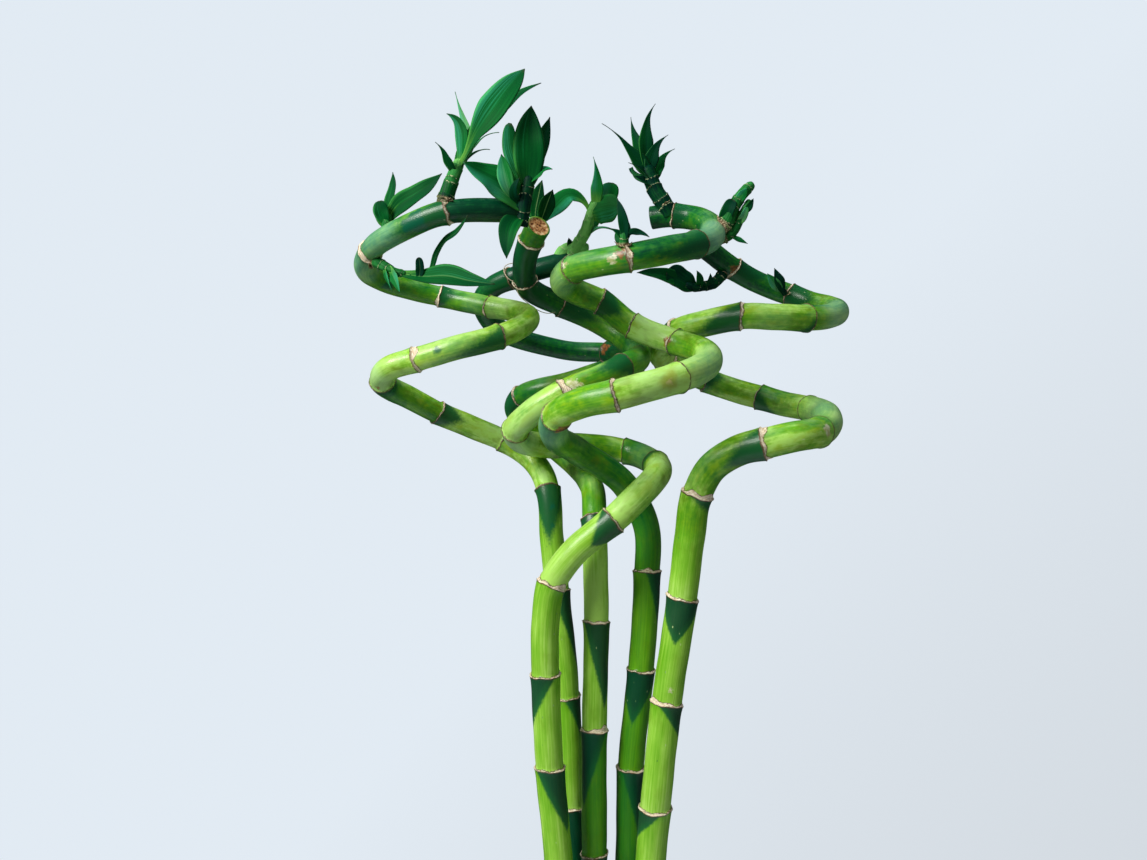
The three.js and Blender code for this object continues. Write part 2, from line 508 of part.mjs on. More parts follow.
// Repeatable draw of numbers between 0 and 1
function drawer(seed) {
  let state = seed;
  return () => {
    state = (state * 16807) % 2147483647;
    return state / 2147483647;
  };
}

// Pebbles fill the vase; those on top show as rounded stones, in rings with a seeded shift
function bedSolid(caneCuts) {
  const draw = drawer(PEBBLE_SEED);
  const floor = VASE_FLOOR + BED_GAP;
  const wall = (z) => outerRadius(z) - VASE_WALL - BED_GAP;
  let bed = turned([[0, floor], [wall(floor), floor], [wall(BED_TOP), BED_TOP], [0, BED_TOP]]);
  for (const [ringRadius, count] of PEBBLE_RINGS) {
    for (let i = 0; i < count; i += 1) {
      const angle = (2 * Math.PI * (i + 0.4 * draw())) / count;
      const size = PEBBLE_RADIUS * (0.85 + 0.25 * draw());
      const shift = PEBBLE_SHIFT * (draw() - 0.5);
      const pebble = new THREE.IcosahedronGeometry(size, 1)
        .scale(...PEBBLE_SHAPE)
        .rotateZ(Math.PI * draw())
        .translate((ringRadius + shift) * Math.cos(angle), (ringRadius + shift) * Math.sin(angle),
          BED_TOP + PEBBLE_LIFT * draw());
      bed = bed.add(geometryToManifold(pebble));
    }
  }
  const head = BED_TOP + PEBBLE_HEAD;
  const neck = turned([[0, floor], [wall(floor), floor], [wall(head), head], [0, head]]);
  bed = bed.intersect(neck);
  for (const cut of caneCuts) bed = bed.subtract(cut);
  return bed.decompose().reduce((best, body) => (body.volume() > best.volume() ? body : best));
}

function named(name, solid, color, roughness) {
  const material = new THREE.MeshStandardMaterial({ color, roughness, metalness: 0 });
  const mesh = new THREE.Mesh(manifoldToGeometry(solid), material);
  mesh.name = name;
  return mesh;
}

const group = new THREE.Group();
const clearance = Object.values(CANES).map((spec) => caneSolid(spec, CANE_GAP));
group.add(named("vase", vaseSolid(), 0xe9e6df, 0.25));
group.add(named("pebble_bed", bedSolid(clearance), 0xb9b1a3, 0.7));
for (const [name, spec] of Object.entries(CANES)) {
  group.add(named(name, caneSolid(spec, 0), spec.color, 0.4));
}
for (const [name, spec] of Object.entries(SHOOTS)) {
  group.add(named(name, shootSolid(spec, clearance), SHOOT_COLORS[name] ?? LEAF_COLOR, 0.45));
}

export default group;
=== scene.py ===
"""Lucky bamboo: five wound canes, leafy shoots, pebbles and a plain vase, dressed round the CAD frame."""
import math
import random

import bmesh
import bpy
import mathutils
import numpy as np
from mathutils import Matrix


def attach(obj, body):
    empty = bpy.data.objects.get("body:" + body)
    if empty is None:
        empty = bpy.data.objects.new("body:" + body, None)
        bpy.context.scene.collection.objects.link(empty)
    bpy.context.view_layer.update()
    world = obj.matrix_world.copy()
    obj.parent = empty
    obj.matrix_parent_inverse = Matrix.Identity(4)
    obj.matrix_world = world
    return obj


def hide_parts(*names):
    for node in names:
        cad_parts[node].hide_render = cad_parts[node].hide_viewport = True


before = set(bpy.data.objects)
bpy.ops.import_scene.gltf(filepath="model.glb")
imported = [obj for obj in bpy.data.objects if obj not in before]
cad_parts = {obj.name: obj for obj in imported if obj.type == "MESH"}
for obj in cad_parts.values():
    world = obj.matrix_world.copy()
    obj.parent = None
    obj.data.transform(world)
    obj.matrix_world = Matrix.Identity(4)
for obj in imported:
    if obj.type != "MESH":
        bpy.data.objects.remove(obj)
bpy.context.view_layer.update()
MM = 0.001

# Camera: the photograph is 1147 x 860 pixels and its focal length is 875 pixels
PHOTO_WIDTH = 1147
FOCAL_PIXELS = 875
SENSOR_WIDTH = 36.0
CAMERA_PLACE = (-0.013, -0.420, 0.446)

# Vase, in millimetres
VASE_HEIGHT = 200.0
VASE_FOOT_RADIUS = 40.0
VASE_FOOT_ROUND = 2.0
VASE_RIM_RADIUS = 46.0
VASE_WALL = 4.5
VASE_FLOOR = 9.0
VASE_SIDES = 128

# Pebbles: their layers, each a height and the number of tries, their sizes, and what they keep clear
BED_TOP = 180.0
PEBBLE_SEED = 7
PEBBLE_LAYERS = ((BED_TOP - 7.5, 500), (BED_TOP - 1.5, 1600), (BED_TOP + 2.5, 500))
PEBBLE_SIZES = (3.6, 6.6)
PEBBLE_WALL_GAP = 0.4
POST_RADIUS = 7.4
FOOT_SECTIONS = 40

# Canes and leaves, in millimetres
CANE_SIDES = 48
CANE_STEP = 1.5
CORK_ROUGHNESS = 0.18
LEAF_SPANS = 26
LEAF_LANES = 11
LEAF_THICKNESS = 0.7
STEM_SIDES = 24
STEM_STEP = 0.35
STEM_TIP = 3.0
SHEATH_LENGTH = 6.0
SCALE_SIZES = (1.9, 3.2)

# Rings: sections near one, its lip and how fast that falls off before and past its middle, the neck
# past it, its papery band, and how far before and past it the skin's tone is changed
RING_REACH = 9.0
RING_OFFSETS = (-9, -7, -5.4, -4, -2.9, -2, -1.3, -0.8, -0.45, -0.2, 0, 0.2, 0.45, 0.75, 1.1, 1.6, 2.3, 3.2,
                4.5, 6, 8)
LIP_RISE = 0.65
LIP_BEFORE = 3.0
LIP_PAST = 0.4
NECK_DEPTH = 0.3
NECK_START = 0.5
NECK_LENGTH = 4.5
PAPER_RISE = 0.22
SEAM_PLACE = 0.15
SEAM_REACH = 0.32
TONE_REACH = 9.0

# Value on the skin where no ring or mark is near
FAR = -6.0

# Height in millimetres between which canes turn from straight to wound, and their marks grow softer
COIL_FROM = 380.0
COIL_FULL = 430.0
SOFT_WEDGE = 0.3

# Dry thread that hangs from the front cane near its top
THREADED_CANE = "cane_front"
THREAD = [(-43.5, 26, 531), (-48.3, 24, 528.2), (-46.6, 22.5, 523.3), (-42.6, 22.5, 520), (-41, 23, 515.2),
          (-36.2, 27, 510.7), (-26.8, 37, 507), (-22.5, 43, 508.5)]
THREAD_RADIUS = 0.22

# Outlines of blades: where a blade is widest, its share of that width at the base, how slowly it
# widens, and the loss, bend and draw of its tip
OUTLINES = {
    "oval": (0.42, 0.42, 1, 1, 1.9, 1),
    "late": (0.6, 0.25, 1.5, 1, 1.6, 1),
    "waisted": (0.6, 0.16, 3.5, 1, 1.9, 1),
    "broad": (0.42, 0.65, 1, 1, 2, 1),
    "pointed": (0.42, 0.42, 1, 1, 1, 1.35),
    "drawn": (0.3, 0.6, 1, 1, 1, 2.1),
    "blunt": (0.42, 0.5, 1, 0.95, 4.5, 0.5),
}

# Rows of a cut end: share of the radius, lift past the end in millimetres, share of cork
CUT_PROFILE = ((0.97, 0.3, 0.0), (0.9, 0.4, 0.0), (0.84, 0.2, 0.6), (0.8, -0.15, 1.0), (0.6, -0.3, 1.0),
               (0.4, -0.2, 1.0), (0.2, -0.35, 1.0), (0.02, -0.3, 1.0))

# Stage: the surround that is seen, the one that lights, and the lamps, in metres and watts
FLOOR_RADIUS = 0.6
FLOOR_FADE = (0.24, 0.44)
FLOOR_COLOR = (0.54, 0.58, 0.62)
SEEN_COLOR = (0.76, 0.83, 0.9)
SHADED_COLOR = (0.66, 0.71, 0.76)
SHADED_WAY = (0.7, 0.0, -0.7)
SHADED_SPAN = (0.1, 0.62)
LIT_COLOR = (0.92, 0.96, 1.0)
LIT_STRENGTH = 0.31
MIRRORED_STRENGTH = 0.05
LIGHTS = (
    ("key", (-0.9, -0.75, 1.15), (0, 0, 0.45), 0.62, 28.0, (1.0, 0.99, 0.95), True),
    ("top", (0.1, 0.1, 1.6), (0, 0, 0.45), 0.8, 8.0, (0.95, 0.98, 1.0), False),
)

# Colours of skin, of the wedges on it, of the ring scars and of cut ends
SKIN = ((0.0, (0.0003, 0.044, 0.018)), (0.1, (0.0005, 0.062, 0.021)), (0.25, (0.005, 0.13, 0.015)),
        (0.5, (0.045, 0.22, 0.008)), (0.75, (0.115, 0.34, 0.008)), (0.9, (0.23, 0.48, 0.04)),
        (1.0, (0.34, 0.6, 0.1)))
OLIVE = (0.12, 0.19, 0.004)
GOLD = (0.27, 0.42, 0.004)
# Bloom colours, dark and light: partly real pale bloom, partly painted sheen of reflected light
BLOOM_AND_SHEEN_COLORS = ((0.18, 0.42, 0.27), (0.38, 0.63, 0.24))
WEDGE_COLORS = ((0.003, 0.085, 0.024), (0.0004, 0.044, 0.022))
# Wedge colour on the wound canes, lighter than the straight canes' wedges: painted light that offsets the
# shade in the coil
COILED_WEDGE_PAINTED_LIGHT = (0.001, 0.085, 0.02)
SPECK_COLORS = ((0.02, 0.12, 0.04), (0.5, 0.62, 0.28))
PAPER = ((0.25, (0.2, 0.1, 0.045)), (0.42, (0.5, 0.38, 0.24)), (0.58, (0.74, 0.66, 0.5)),
         (0.75, (0.86, 0.82, 0.7)))
SEAM_COLORS = ((0.03, 0.018, 0.01), (0.1, 0.045, 0.018))
CORK = ((0.15, (0.1, 0.03, 0.01)), (0.4, (0.4, 0.16, 0.05)), (0.65, (0.62, 0.33, 0.13)),
        (0.9, (0.75, 0.52, 0.28)))

# Kinds of mark: how ragged, where it begins and is full, how strong there, and its one or two colours
MARK_KINDS = (
    ("dark", 0.5, -0.9, 0.9, 0.85, (0.001, 0.09, 0.045)),
    ("tan", 0.6, -3.0, 0.6, 0.7, (0.27, 0.3, 0.02)),
    ("tan", 0.6, 0.4, 2.0, 0.8, (0.5, 0.45, 0.17)),
    ("orange", 1.6, -0.6, 1.0, 0.9, (0.36, 0.13, 0.03), (0.13, 0.05, 0.02)),
    ("pale", 1.8, -0.3, 0.9, 0.7, (0.7, 0.66, 0.48), (0.42, 0.36, 0.18)),
)

# Colours of leaves, stems, stones and glaze
BLADE = ((0.0, (0.0005, 0.026, 0.014)), (0.3, (0.001, 0.064, 0.012)), (0.6, (0.004, 0.15, 0.024)),
         (1.0, (0.13, 0.34, 0.15)))
SHEEN = (0.03, 0.29, 0.17)
BLADE_BASE = (0.17, 0.44, 0.06)
BLADE_UNDER = (0.02, 0.15, 0.03)
BLADE_RIB = (0.3, 0.55, 0.2)
BLADE_EDGE = (0.12, 0.36, 0.1)
BLADE_LIT_EDGE = (0.07, 0.36, 0.06)
BLADE_DRY = (0.035, 0.03, 0.02)
SHEATH = ((0.0, (0.0005, 0.02, 0.015)), (0.4, (0.004, 0.09, 0.015)), (0.7, (0.03, 0.22, 0.045)),
          (1.0, (0.17, 0.46, 0.11)))
SHEATH_RIM = (0.5, 0.56, 0.3)
SHEATH_PAPER = ((0.1, 0.06, 0.03), (0.52, 0.43, 0.27))
STONE = ((0.0, (0.1, 0.095, 0.085)), (0.2, (0.28, 0.26, 0.23)), (0.45, (0.42, 0.35, 0.26)),
         (0.65, (0.55, 0.5, 0.42)), (0.85, (0.66, 0.63, 0.58)), (1.0, (0.8, 0.78, 0.73)))
STONE_GRAIN = (0.2, 0.18, 0.16)
STONE_VEIN = (0.85, 0.83, 0.78)
GLAZE_COLORS = ((0.8, 0.775, 0.725), (0.87, 0.85, 0.81))
GLAZE_SPECK = (0.42, 0.33, 0.24)
BARE_CLAY = (0.55, 0.42, 0.3)
THIN_GLAZE = (0.62, 0.52, 0.4)


def at(x, y, z):
    return (x, y, z, False)


def ring(x, y, z):
    return (x, y, z, True)


def cane(foot_diameter, top_diameter, route):
    return {"foot": foot_diameter, "top": top_diameter, "route": route}


def stem(route, base_radius, top_radius):
    return {"route": route, "base": base_radius, "top": top_radius}


def leaf(route, width, face, shape="oval"):
    return {"route": route, "width": width, "face": face, "shape": shape}


CANES = {
  "cane_left": cane(13.2, 10.6, [
    at(-11, 14, 14), at(-13, 17, 205), ring(-14, 18, 258), ring(-16, 18, 313), ring(-21, 18, 365),
    at(-24, 19, 393), ring(-26, 22, 416), at(-33, 34, 429), at(-41, 37.4, 435.5), ring(-50, 37.8, 440.6),
    at(-66, 35, 447.6), ring(-83, 30, 455), at(-97, 21, 463), at(-103.1, 13.5, 466.2),
    ring(-105.7, 4.4, 469.8), at(-100.1, -6.2, 475.1), ring(-87, -9, 479), at(-68, -14, 484),
    ring(-48, -8, 490), at(-36, 10, 499), at(-39, 30, 506), ring(-57, 42, 511), ring(-85, 52, 518),
    at(-100, 47, 521), at(-113, 36, 524), at(-117, 17, 527), ring(-111, 2, 532), at(-92, -18, 538),
    ring(-70, -26, 544), at(-52, -22, 546), at(-40, -16, 547)]),
  "cane_front": cane(13.8, 12.2, [
    at(-14, -13, 14), at(-19, -15, 205), at(-20, -15, 247), ring(-24, -15, 290), ring(-26, -15, 333),
    at(-26, -16, 356), ring(-23, -18, 375), at(-12, -21, 391), ring(5, -22, 405), at(18, -18, 417),
    at(28, 2, 426), ring(28, 18, 429), ring(14, 37, 435), at(-8, 34, 438), at(-26, 25, 438),
    at(-39, 13, 441), ring(-41, 2, 446), at(-34, -8, 453), ring(-18, -14, 463), at(-1, -11, 470),
    ring(10, 0, 476), at(20, 28, 485), at(13, 44, 495), at(-6, 50, 507), ring(-20, 48, 513),
    ring(-38, 32, 523), at(-38, 25, 530), ring(-34, 14, 540), at(-30, 6, 545)]),
  "cane_centre": cane(13.2, 12.4, [
    at(12, 11, 14), at(13, 9, 205), at(14, 8, 236), ring(15, 8, 281), ring(20, 8, 329),
    ring(23, 8, 377), at(23, 8, 397), at(12, 4, 419), at(-11, -8, 436), at(-21, -28, 443),
    ring(-20, -48, 452), at(-10, -62, 457), ring(4, -68, 460), at(18.2, -65.7, 463.9),
    ring(30.4, -58.1, 467.6), at(42.2, -43.1, 472.6), at(48, -25, 478), at(47, -5, 484), ring(37, 8, 489),
    ring(16, 15, 498), ring(0, 15, 510), at(-12, 9, 514), at(-18, -5, 517), ring(-13, -17, 520),
    at(-1, -28, 521), ring(11, -34, 522), at(29.2, -29.2, 526.4), ring(43.4, -16.7, 531.5),
    at(52, -2, 537.2), at(56, 14, 544), at(55, 34, 554), at(50, 42, 558), ring(41, 46, 560),
    at(29, 50, 560)]),
  "cane_right": cane(15.0, 12.4, [
    at(14, -12, 14), at(20, -12, 205), at(23, -12, 246), ring(25, -14, 271), ring(30, -16, 320),
    ring(37, -18, 369), at(40, -20, 396), ring(43, -24, 417), at(49, -28, 429), at(60, -34, 437),
    ring(70, -38, 440), at(83, -38, 443), ring(98, -24, 445), at(110, 4, 452), ring(110, 36, 457),
    at(101, 52, 460), ring(89, 60, 464), at(75, 65.4, 468.4), ring(60.4, 67.1, 474), at(47.7, 64.4, 479.8),
    ring(37, 56, 484), at(33, 45, 487), at(34, 34, 491), ring(40, 23, 496), at(54, 12, 499),
    ring(68, 4, 501), at(86, 6, 501), ring(102.3, 14.4, 501.5), at(116.3, 26.6, 503.9), at(126, 42, 508),
    at(128, 64, 514), at(121.8, 76.1, 518), ring(111.4, 83.7, 523.8), at(95.1, 88, 531.2), ring(79, 84, 539),
    at(66, 76, 546), at(57, 66, 550)]),
  "cane_back": cane(12.6, 11.4, [
    at(0, 0, 14), at(-3, 0, 205), ring(-3, 0, 243), ring(-3, 0, 302), ring(-2, 0, 354),
    ring(-3, 1, 403), at(-3, 9, 413), at(-6, 28, 421), at(-13, 46, 428), at(-24, 54, 437),
    at(-36, 54, 447), at(-43.6, 47.9, 456.3), ring(-40, 37.6, 463.3), at(-30.6, 30.9, 466.7),
    at(-19, 28, 469), ring(2, 30, 475), at(11, 36, 476), at(18, 47, 478), at(21, 61, 483),
    at(17, 82, 489), ring(6, 98, 492), at(-12, 104, 493), at(-34, 100, 497), at(-52, 87, 502),
    at(-61, 75, 509), at(-63, 63, 517), at(-57, 53, 523), ring(-46, 47, 527), at(-36, 45, 530),
    at(-25, 44, 533), at(-16, 44, 535)]),
}

SHOOTS = {
  "shoot_tall": [
    [stem([[-71.5, -26, 545], [-70, -27, 551], [-68, -27, 557], [-66, -26, 563], [-64, -25, 568]], 4.2, 2.6)],
    [
      leaf([[-65.5, -26, 563], [-62, -28, 568], [-56, -31, 578], [-49, -33, 587], [-44, -31, 595],
        [-35, -25, 609]], 15.2, [-0.2, -1, 0.2], "waisted"),
      leaf([[-65, -24, 566], [-59.5, -18, 583], [-48.5, -12, 594], [-36, -12, 604], [-28, -14, 607]],
        7.6, [-0.2, -1, 0.6], "late"),
      leaf([[-67, -26.5, 560], [-64.4, -25, 565], [-63.4, -23, 575], [-64, -21.5, 582.4],
        [-66.5, -20.5, 587.6], [-71, -20, 590.6]], 6.4, [-0.5, -1, 0.1], "late"),
      leaf([[-65, -24, 564], [-62, -16, 580], [-65, -10, 593], [-67, -8, 599], [-69, -6, 606]],
        6.5, [-0.6, -1, 0.2], "pointed"),
      leaf([[-66, -27, 561], [-69, -31, 566], [-71, -33, 570], [-74, -34, 573]],
        4.2, [-0.4, -1, 0.3], "pointed"),
      leaf([[-64, -26.5, 563], [-60.5, -27.5, 567.5], [-55, -30, 570.5], [-50, -33, 570]],
        3.8, [0, -0.4, 1], "pointed"),
      leaf([[-65, -24, 566], [-58, -20, 576], [-53, -19, 581], [-47, -20, 582]],
        3.4, [0, -0.4, 1], "pointed"),
      leaf([[-66, -24, 564], [-63.5, -14, 576], [-60, -5, 588], [-56, 2, 599]], 7, [0, 1, 0.4]),
    ],
  ],
  "shoot_upper_left": [
    [stem([[-99, -10, 537], [-100, -12, 541], [-99, -12, 544], [-99, -12, 547]], 3.2, 2.2)],
    [
      leaf([[-99, -12, 543.5], [-94, -14.5, 549.5], [-86, -17, 554], [-79, -19, 558.2], [-73, -21, 563]],
        10.4, [-0.2, -1, 0.2]),
      leaf([[-99, -12, 544], [-99, -10, 554], [-98, -8, 561], [-98.5, -6, 568]], 5.2, [-0.3, -1, 0]),
      leaf([[-100, -12, 541], [-101.5, -14.5, 546], [-102.4, -15.5, 552]], 7.5, [-0.3, -1, 0.2], "blunt"),
      leaf([[-99, -11, 544], [-101.5, -3, 551], [-102.5, 3, 557], [-103, 6, 561]], 4.6, [0, 1, 0.5]),
    ],
  ],
  "shoot_trailing": [
    [stem([[-113, 8, 531], [-108, 1, 527], [-103, -3, 524], [-98, -5, 521], [-92, -6.6, 520]], 3.6, 1.8)],
    [
      leaf([[-99, -5, 521], [-84, -9.5, 518], [-72, -14, 517.5], [-60.5, -18, 514.5], [-48.7, -21, 512.5]],
        10.6, [0.1, -1, 0.35], "late"),
      leaf([[-90, -7.4, 519.4], [-81, -9.2, 520], [-76.5, -13, 528], [-72, -19, 532.5], [-65, -28, 535],
        [-59.5, -35, 540.5]], 4.6, [-0.5, -1, 0.3], "late"),
      leaf([[-86, -8, 517], [-84.8, -10.5, 522], [-85.3, -12, 526.5]], 4, [0, -1, 0.1], "blunt"),
      leaf([[-101, -4, 524], [-97, -9, 517], [-94, -12, 510]], 4.6, [-0.3, -1, -0.2]),
      leaf([[-103, -3, 524], [-101, -8, 518], [-98, -10, 511]], 2.8, [-0.5, -1, -0.2], "pointed"),
    ],
  ],
  "shoot_dark": [
    [
      stem([[-41, -16, 546.5], [-38.5, -17, 546.5], [-35.8, -18, 547]], 4.6, 3.6),
      stem([[-37.6, -17, 540], [-36.4, -18, 546], [-35.2, -19, 552], [-34, -19, 558], [-33, -19, 563]],
        3.7, 3),
    ],
    [
      leaf([[-34, -19, 558], [-33, -24, 568], [-33, -27, 577], [-32, -26, 592]], 14.6, [0, -1, 0.1]),
      leaf([[-35, -18, 557], [-39, -16, 568], [-42, -15, 578], [-42, -18, 587]], 8, [-0.4, -1, 0], "blunt"),
      leaf([[-33, -18, 559], [-30, -14, 572], [-27, -12, 583], [-24, -12, 592]], 7.6, [0.4, -1, 0], "late"),
      leaf([[-34, -19, 558], [-30, -22, 561.5], [-26.5, -23.5, 564], [-22.5, -24, 564]],
        4.4, [0, -1, 0.5], "late"),
      leaf([[-36, -18, 549], [-43, -22, 554.5], [-50, -26, 558.6], [-56, -29, 561.5], [-62, -32, 565]],
        15.5, [-0.2, -1, 0.5], "broad"),
      leaf([[-38, -19, 550], [-42, -24, 555], [-44, -25.5, 562], [-45.5, -25, 570.5]],
        7.4, [-0.1, -1, 0], "late"),
      leaf([[-37, -19, 549], [-40, -25, 554], [-37, -28, 559]], 4.4, [-0.3, -1, 0.1]),
      leaf([[-37, -18, 544], [-41.5, -25, 538], [-42.6, -27, 531.5], [-43, -27, 523]],
        9.6, [-0.2, -1, -0.1]),
      leaf([[-35, -17, 557], [-35, -7, 568], [-36, 0, 578], [-39, 4, 585]], 8, [0, 1, 0.3]),
    ],
  ],
  "shoot_cut_top": [
    [stem([[-33, 16, 539], [-32, 20, 544], [-31, 22, 549], [-31, 22, 555]], 2.4, 1.6)],
    [
      leaf([[-32, 22, 548], [-32, 20, 556], [-30.5, 18, 563], [-28.6, 16, 570.5]],
        8.4, [-0.4, -1, 0], "late"),
      leaf([[-31, 22, 548], [-28, 20, 555], [-26, 18, 560], [-23.3, 15, 565.5]], 8.6, [0.4, -1, 0.1], "late"),
      leaf([[-31, 22, 548], [-33, 27, 556], [-35, 32, 563], [-35, 35, 570]], 5.6, [0, 1, 0.2]),
    ],
  ],
  "shoot_back": [
    [
      stem([[-18, 44, 535], [-12, 41, 542], [-7, 36, 549], [-4, 32, 557], [-1, 28, 563]], 3.8, 2.6),
      stem([[-20, 44, 537], [-17, 43, 541], [-11, 42, 542], [-5, 41, 541.5]], 4.2, 3),
    ],
    [
      leaf([[-2, 29, 559], [-1, 26, 567], [-1, 24, 575], [-3, 22, 584]], 6.8, [-0.2, -1, 0], "pointed"),
      leaf([[-5.5, 32, 557], [-1.5, 27, 558], [4, 23, 558.6], [9.5, 20, 558.6]], 14.4, [-0.2, 1, 0], "blunt"),
      leaf([[-2, 31, 558], [2, 31, 563], [5, 30, 568], [6.2, 29, 573]], 10.5, [0.1, -1, 0.1], "blunt"),
      leaf([[-4.5, 33, 557.5], [-9, 32, 565], [-14.5, 31, 566.5], [-20, 29, 561.8], [-27, 27, 552.5]],
        12.5, [-0.2, -1, 0.45], "waisted"),
      leaf([[-11, 40, 543.5], [-6, 37, 547.5], [2, 28, 549.5], [9.5, 21, 545]],
        4.4, [0, -0.8, 0.6], "pointed"),
      leaf([[-14, 42, 542], [-15, 39, 544.5], [-15.5, 37.5, 546.5]], 3.6, [0, -1, 0]),
      leaf([[-5, 35, 550], [-3, 44, 555], [0, 51, 561], [3, 56, 567]], 6.4, [0, 1, 0.4]),
      leaf([[-3, 31, 558], [3, 38, 564], [6, 45, 570], [7, 50, 576]], 6.4, [0.3, 1, 0.3]),
    ],
  ],
  "shoot_spike": [
    [stem([[10, -35, 523], [9, -38, 529], [9, -39, 533]], 2.8, 1.8)],
    [
      leaf([[9, -38, 528], [9, -41, 534], [8, -42, 539], [6, -41, 546]], 4.6, [-0.3, -1, 0.1]),
      leaf([[9, -38, 528], [12, -38, 532], [15, -38, 532], [20, -39, 530]], 4.8, [0, -0.8, 0.8]),
      leaf([[9, -38, 528], [11, -37, 534], [10, -36, 540]], 3, [0.6, -1, 0], "pointed"),
      leaf([[9, -38, 528.5], [6, -39, 532], [2, -39.5, 534]], 3.6, [0, -1, 0.7], "pointed"),
      leaf([[9, -37, 528], [7, -31, 532], [7, -27, 536]], 4, [-0.2, 1, 0.6]),
    ],
  ],
  "shoot_crown": [
    [stem([[38, 45, 560], [35, 44, 566], [31, 44, 572], [28, 44, 579], [26, 44, 586]], 4.9, 4)],
    [
      leaf([[28, 44, 580], [22, 41.5, 587], [16.4, 39, 593], [11, 37, 599], [1.7, 34, 605]],
        8.4, [-0.4, -1, 0.6], "drawn"),
      leaf([[27, 44, 582], [24, 45, 591], [21.2, 46, 599], [19, 48, 606], [17.8, 50, 614]],
        7.8, [-0.2, -1, 0.2], "pointed"),
      leaf([[26, 44, 584], [24.8, 40, 596], [25, 38, 604], [26.3, 37, 610], [29.7, 36, 616]],
        8.2, [0.2, -1, 0.1], "pointed"),
      leaf([[27, 44, 580], [28.2, 42, 589.5], [31.3, 40, 596], [36.6, 38, 600.5]],
        7.8, [0.3, -1, 0.4], "pointed"),
      leaf([[29, 44, 577], [32, 46, 586], [35.6, 48, 592.5], [41.4, 50, 597]],
        6.8, [0.2, -0.8, 0.8], "pointed"),
      leaf([[29, 44, 577], [22, 39, 583], [15.6, 35, 585]], 6.6, [-0.3, -0.8, 0.8], "pointed"),
      leaf([[30, 44, 574], [24, 40, 577], [18.6, 38, 579]], 5.6, [-0.3, -0.8, 0.7]),
      leaf([[27, 45, 581], [23, 55, 592], [22, 63, 600], [24, 70, 606]], 7.4, [0, 1, 0.3]),
      leaf([[28, 45, 578], [32, 55, 587], [33, 64, 594], [33, 72, 598]], 6.6, [0.3, 1, 0.4]),
      leaf([[28, 45, 577], [23, 54, 584], [20, 62, 589], [18, 69, 592]], 6.2, [-0.4, 1, 0.5]),
    ],
  ],
  "shoot_stubs": [
    [
      stem([[57, 15, 544], [62.5, 13, 549], [66, 13, 556], [70, 13, 562], [76, 13, 568]], 4.4, 2.5),
      stem([[58, 17, 541], [66, 15, 544.5], [70, 14, 552], [72.4, 13, 556], [74, 13, 560]], 3.2, 1.8),
    ],
    [
      leaf([[61, 13.5, 547], [62.5, 10, 553], [65.5, 9.5, 559]], 6.6, [-0.2, -1, 0], "blunt"),
      leaf([[66, 13, 556], [69.5, 10.5, 561], [72.5, 10, 565]], 4.8, [0.1, -1, 0], "late"),
      leaf([[68, 14, 548], [71, 11.5, 552], [72.6, 11, 557]], 4.2, [0.3, -1, 0]),
      leaf([[71, 13, 553], [73.6, 11, 556.5], [75.6, 11, 560]], 3.8, [0.4, -1, 0]),
      leaf([[65, 16, 543], [69, 13, 540], [73, 12, 538]], 3, [0, -1, 0.4]),
    ],
  ],
  "shoot_low_right": [
    [stem([[72, 80, 535], [66, 77, 529], [60, 73, 527], [54, 70, 526], [49, 68, 527]], 3.4, 2.4)],
    [
      leaf([[52, 69, 526], [43, 66, 530], [35, 64, 532], [22, 64, 533]], 8.6, [0, -1, 0.3]),
      leaf([[54, 70, 526], [48, 67, 529], [43, 66, 532], [39, 65, 534.5]], 12.4, [0.1, -1, 0.1], "blunt"),
      leaf([[57, 71, 526], [57, 66, 530], [55, 63, 534]], 4.6, [0, -1, 0.1]),
      leaf([[62, 74, 527], [63, 68, 529], [63, 66, 533]], 4.6, [0.3, -1, 0]),
      leaf([[55, 70, 526], [54, 80, 528], [51, 90, 532], [47, 96, 534]], 6, [0, 0.6, 1]),
    ],
  ],
  "shoot_leaflet": [
    [stem([[109, 82, 524], [106, 77, 525], [104, 75, 527]], 2.2, 1.5)],
    [
      leaf([[106, 77, 524], [103, 73, 529], [100, 72, 537]], 6.6, [0.3, -1, 0]),
      leaf([[105, 76, 525], [100, 73, 529], [96, 72, 534]], 6, [-0.3, -1, 0]),
    ],
  ],
}

# Tone of each stretch between rings, foot to top, from 0, dark, to 1, lime. Partly the cane's own colour
# and partly painted light and shade, set darker or lighter for how each stretch is lit
TONES = {
    "cane_left": [0.4, 0.85, 0.85, 0.9, 0.88, 0.97, 0.6, 0.88, 0.94, 0.9, 0.6, 0.46, 0.46, 0.0],
    "cane_front": [0.85, 0.9, 0.85, 1.0, 1.0, 0.6, 0.8, 0.95, 0.72, 0.45, 0.15, 0.05, 0.5],
    "cane_centre": [0.4, 0.6, 0.65, 0.45, 0.9, 0.95, 0.85, 1.05, 0.6, 0.6, 0.42, 0.38, 0.3, 0.12],
    "cane_right": [0.85, 0.9, 0.85, 0.85, 0.75, 0.8, 0.72, 0.75, 0.85, 0.75, 0.9, 0.75, 0.75, 0.55, 0.25,
                   0.15],
    "cane_back": [0.35, 0.5, 0.9, 1.0, 0.65, 0.55, 0.4, 0.16, 0.0],
}

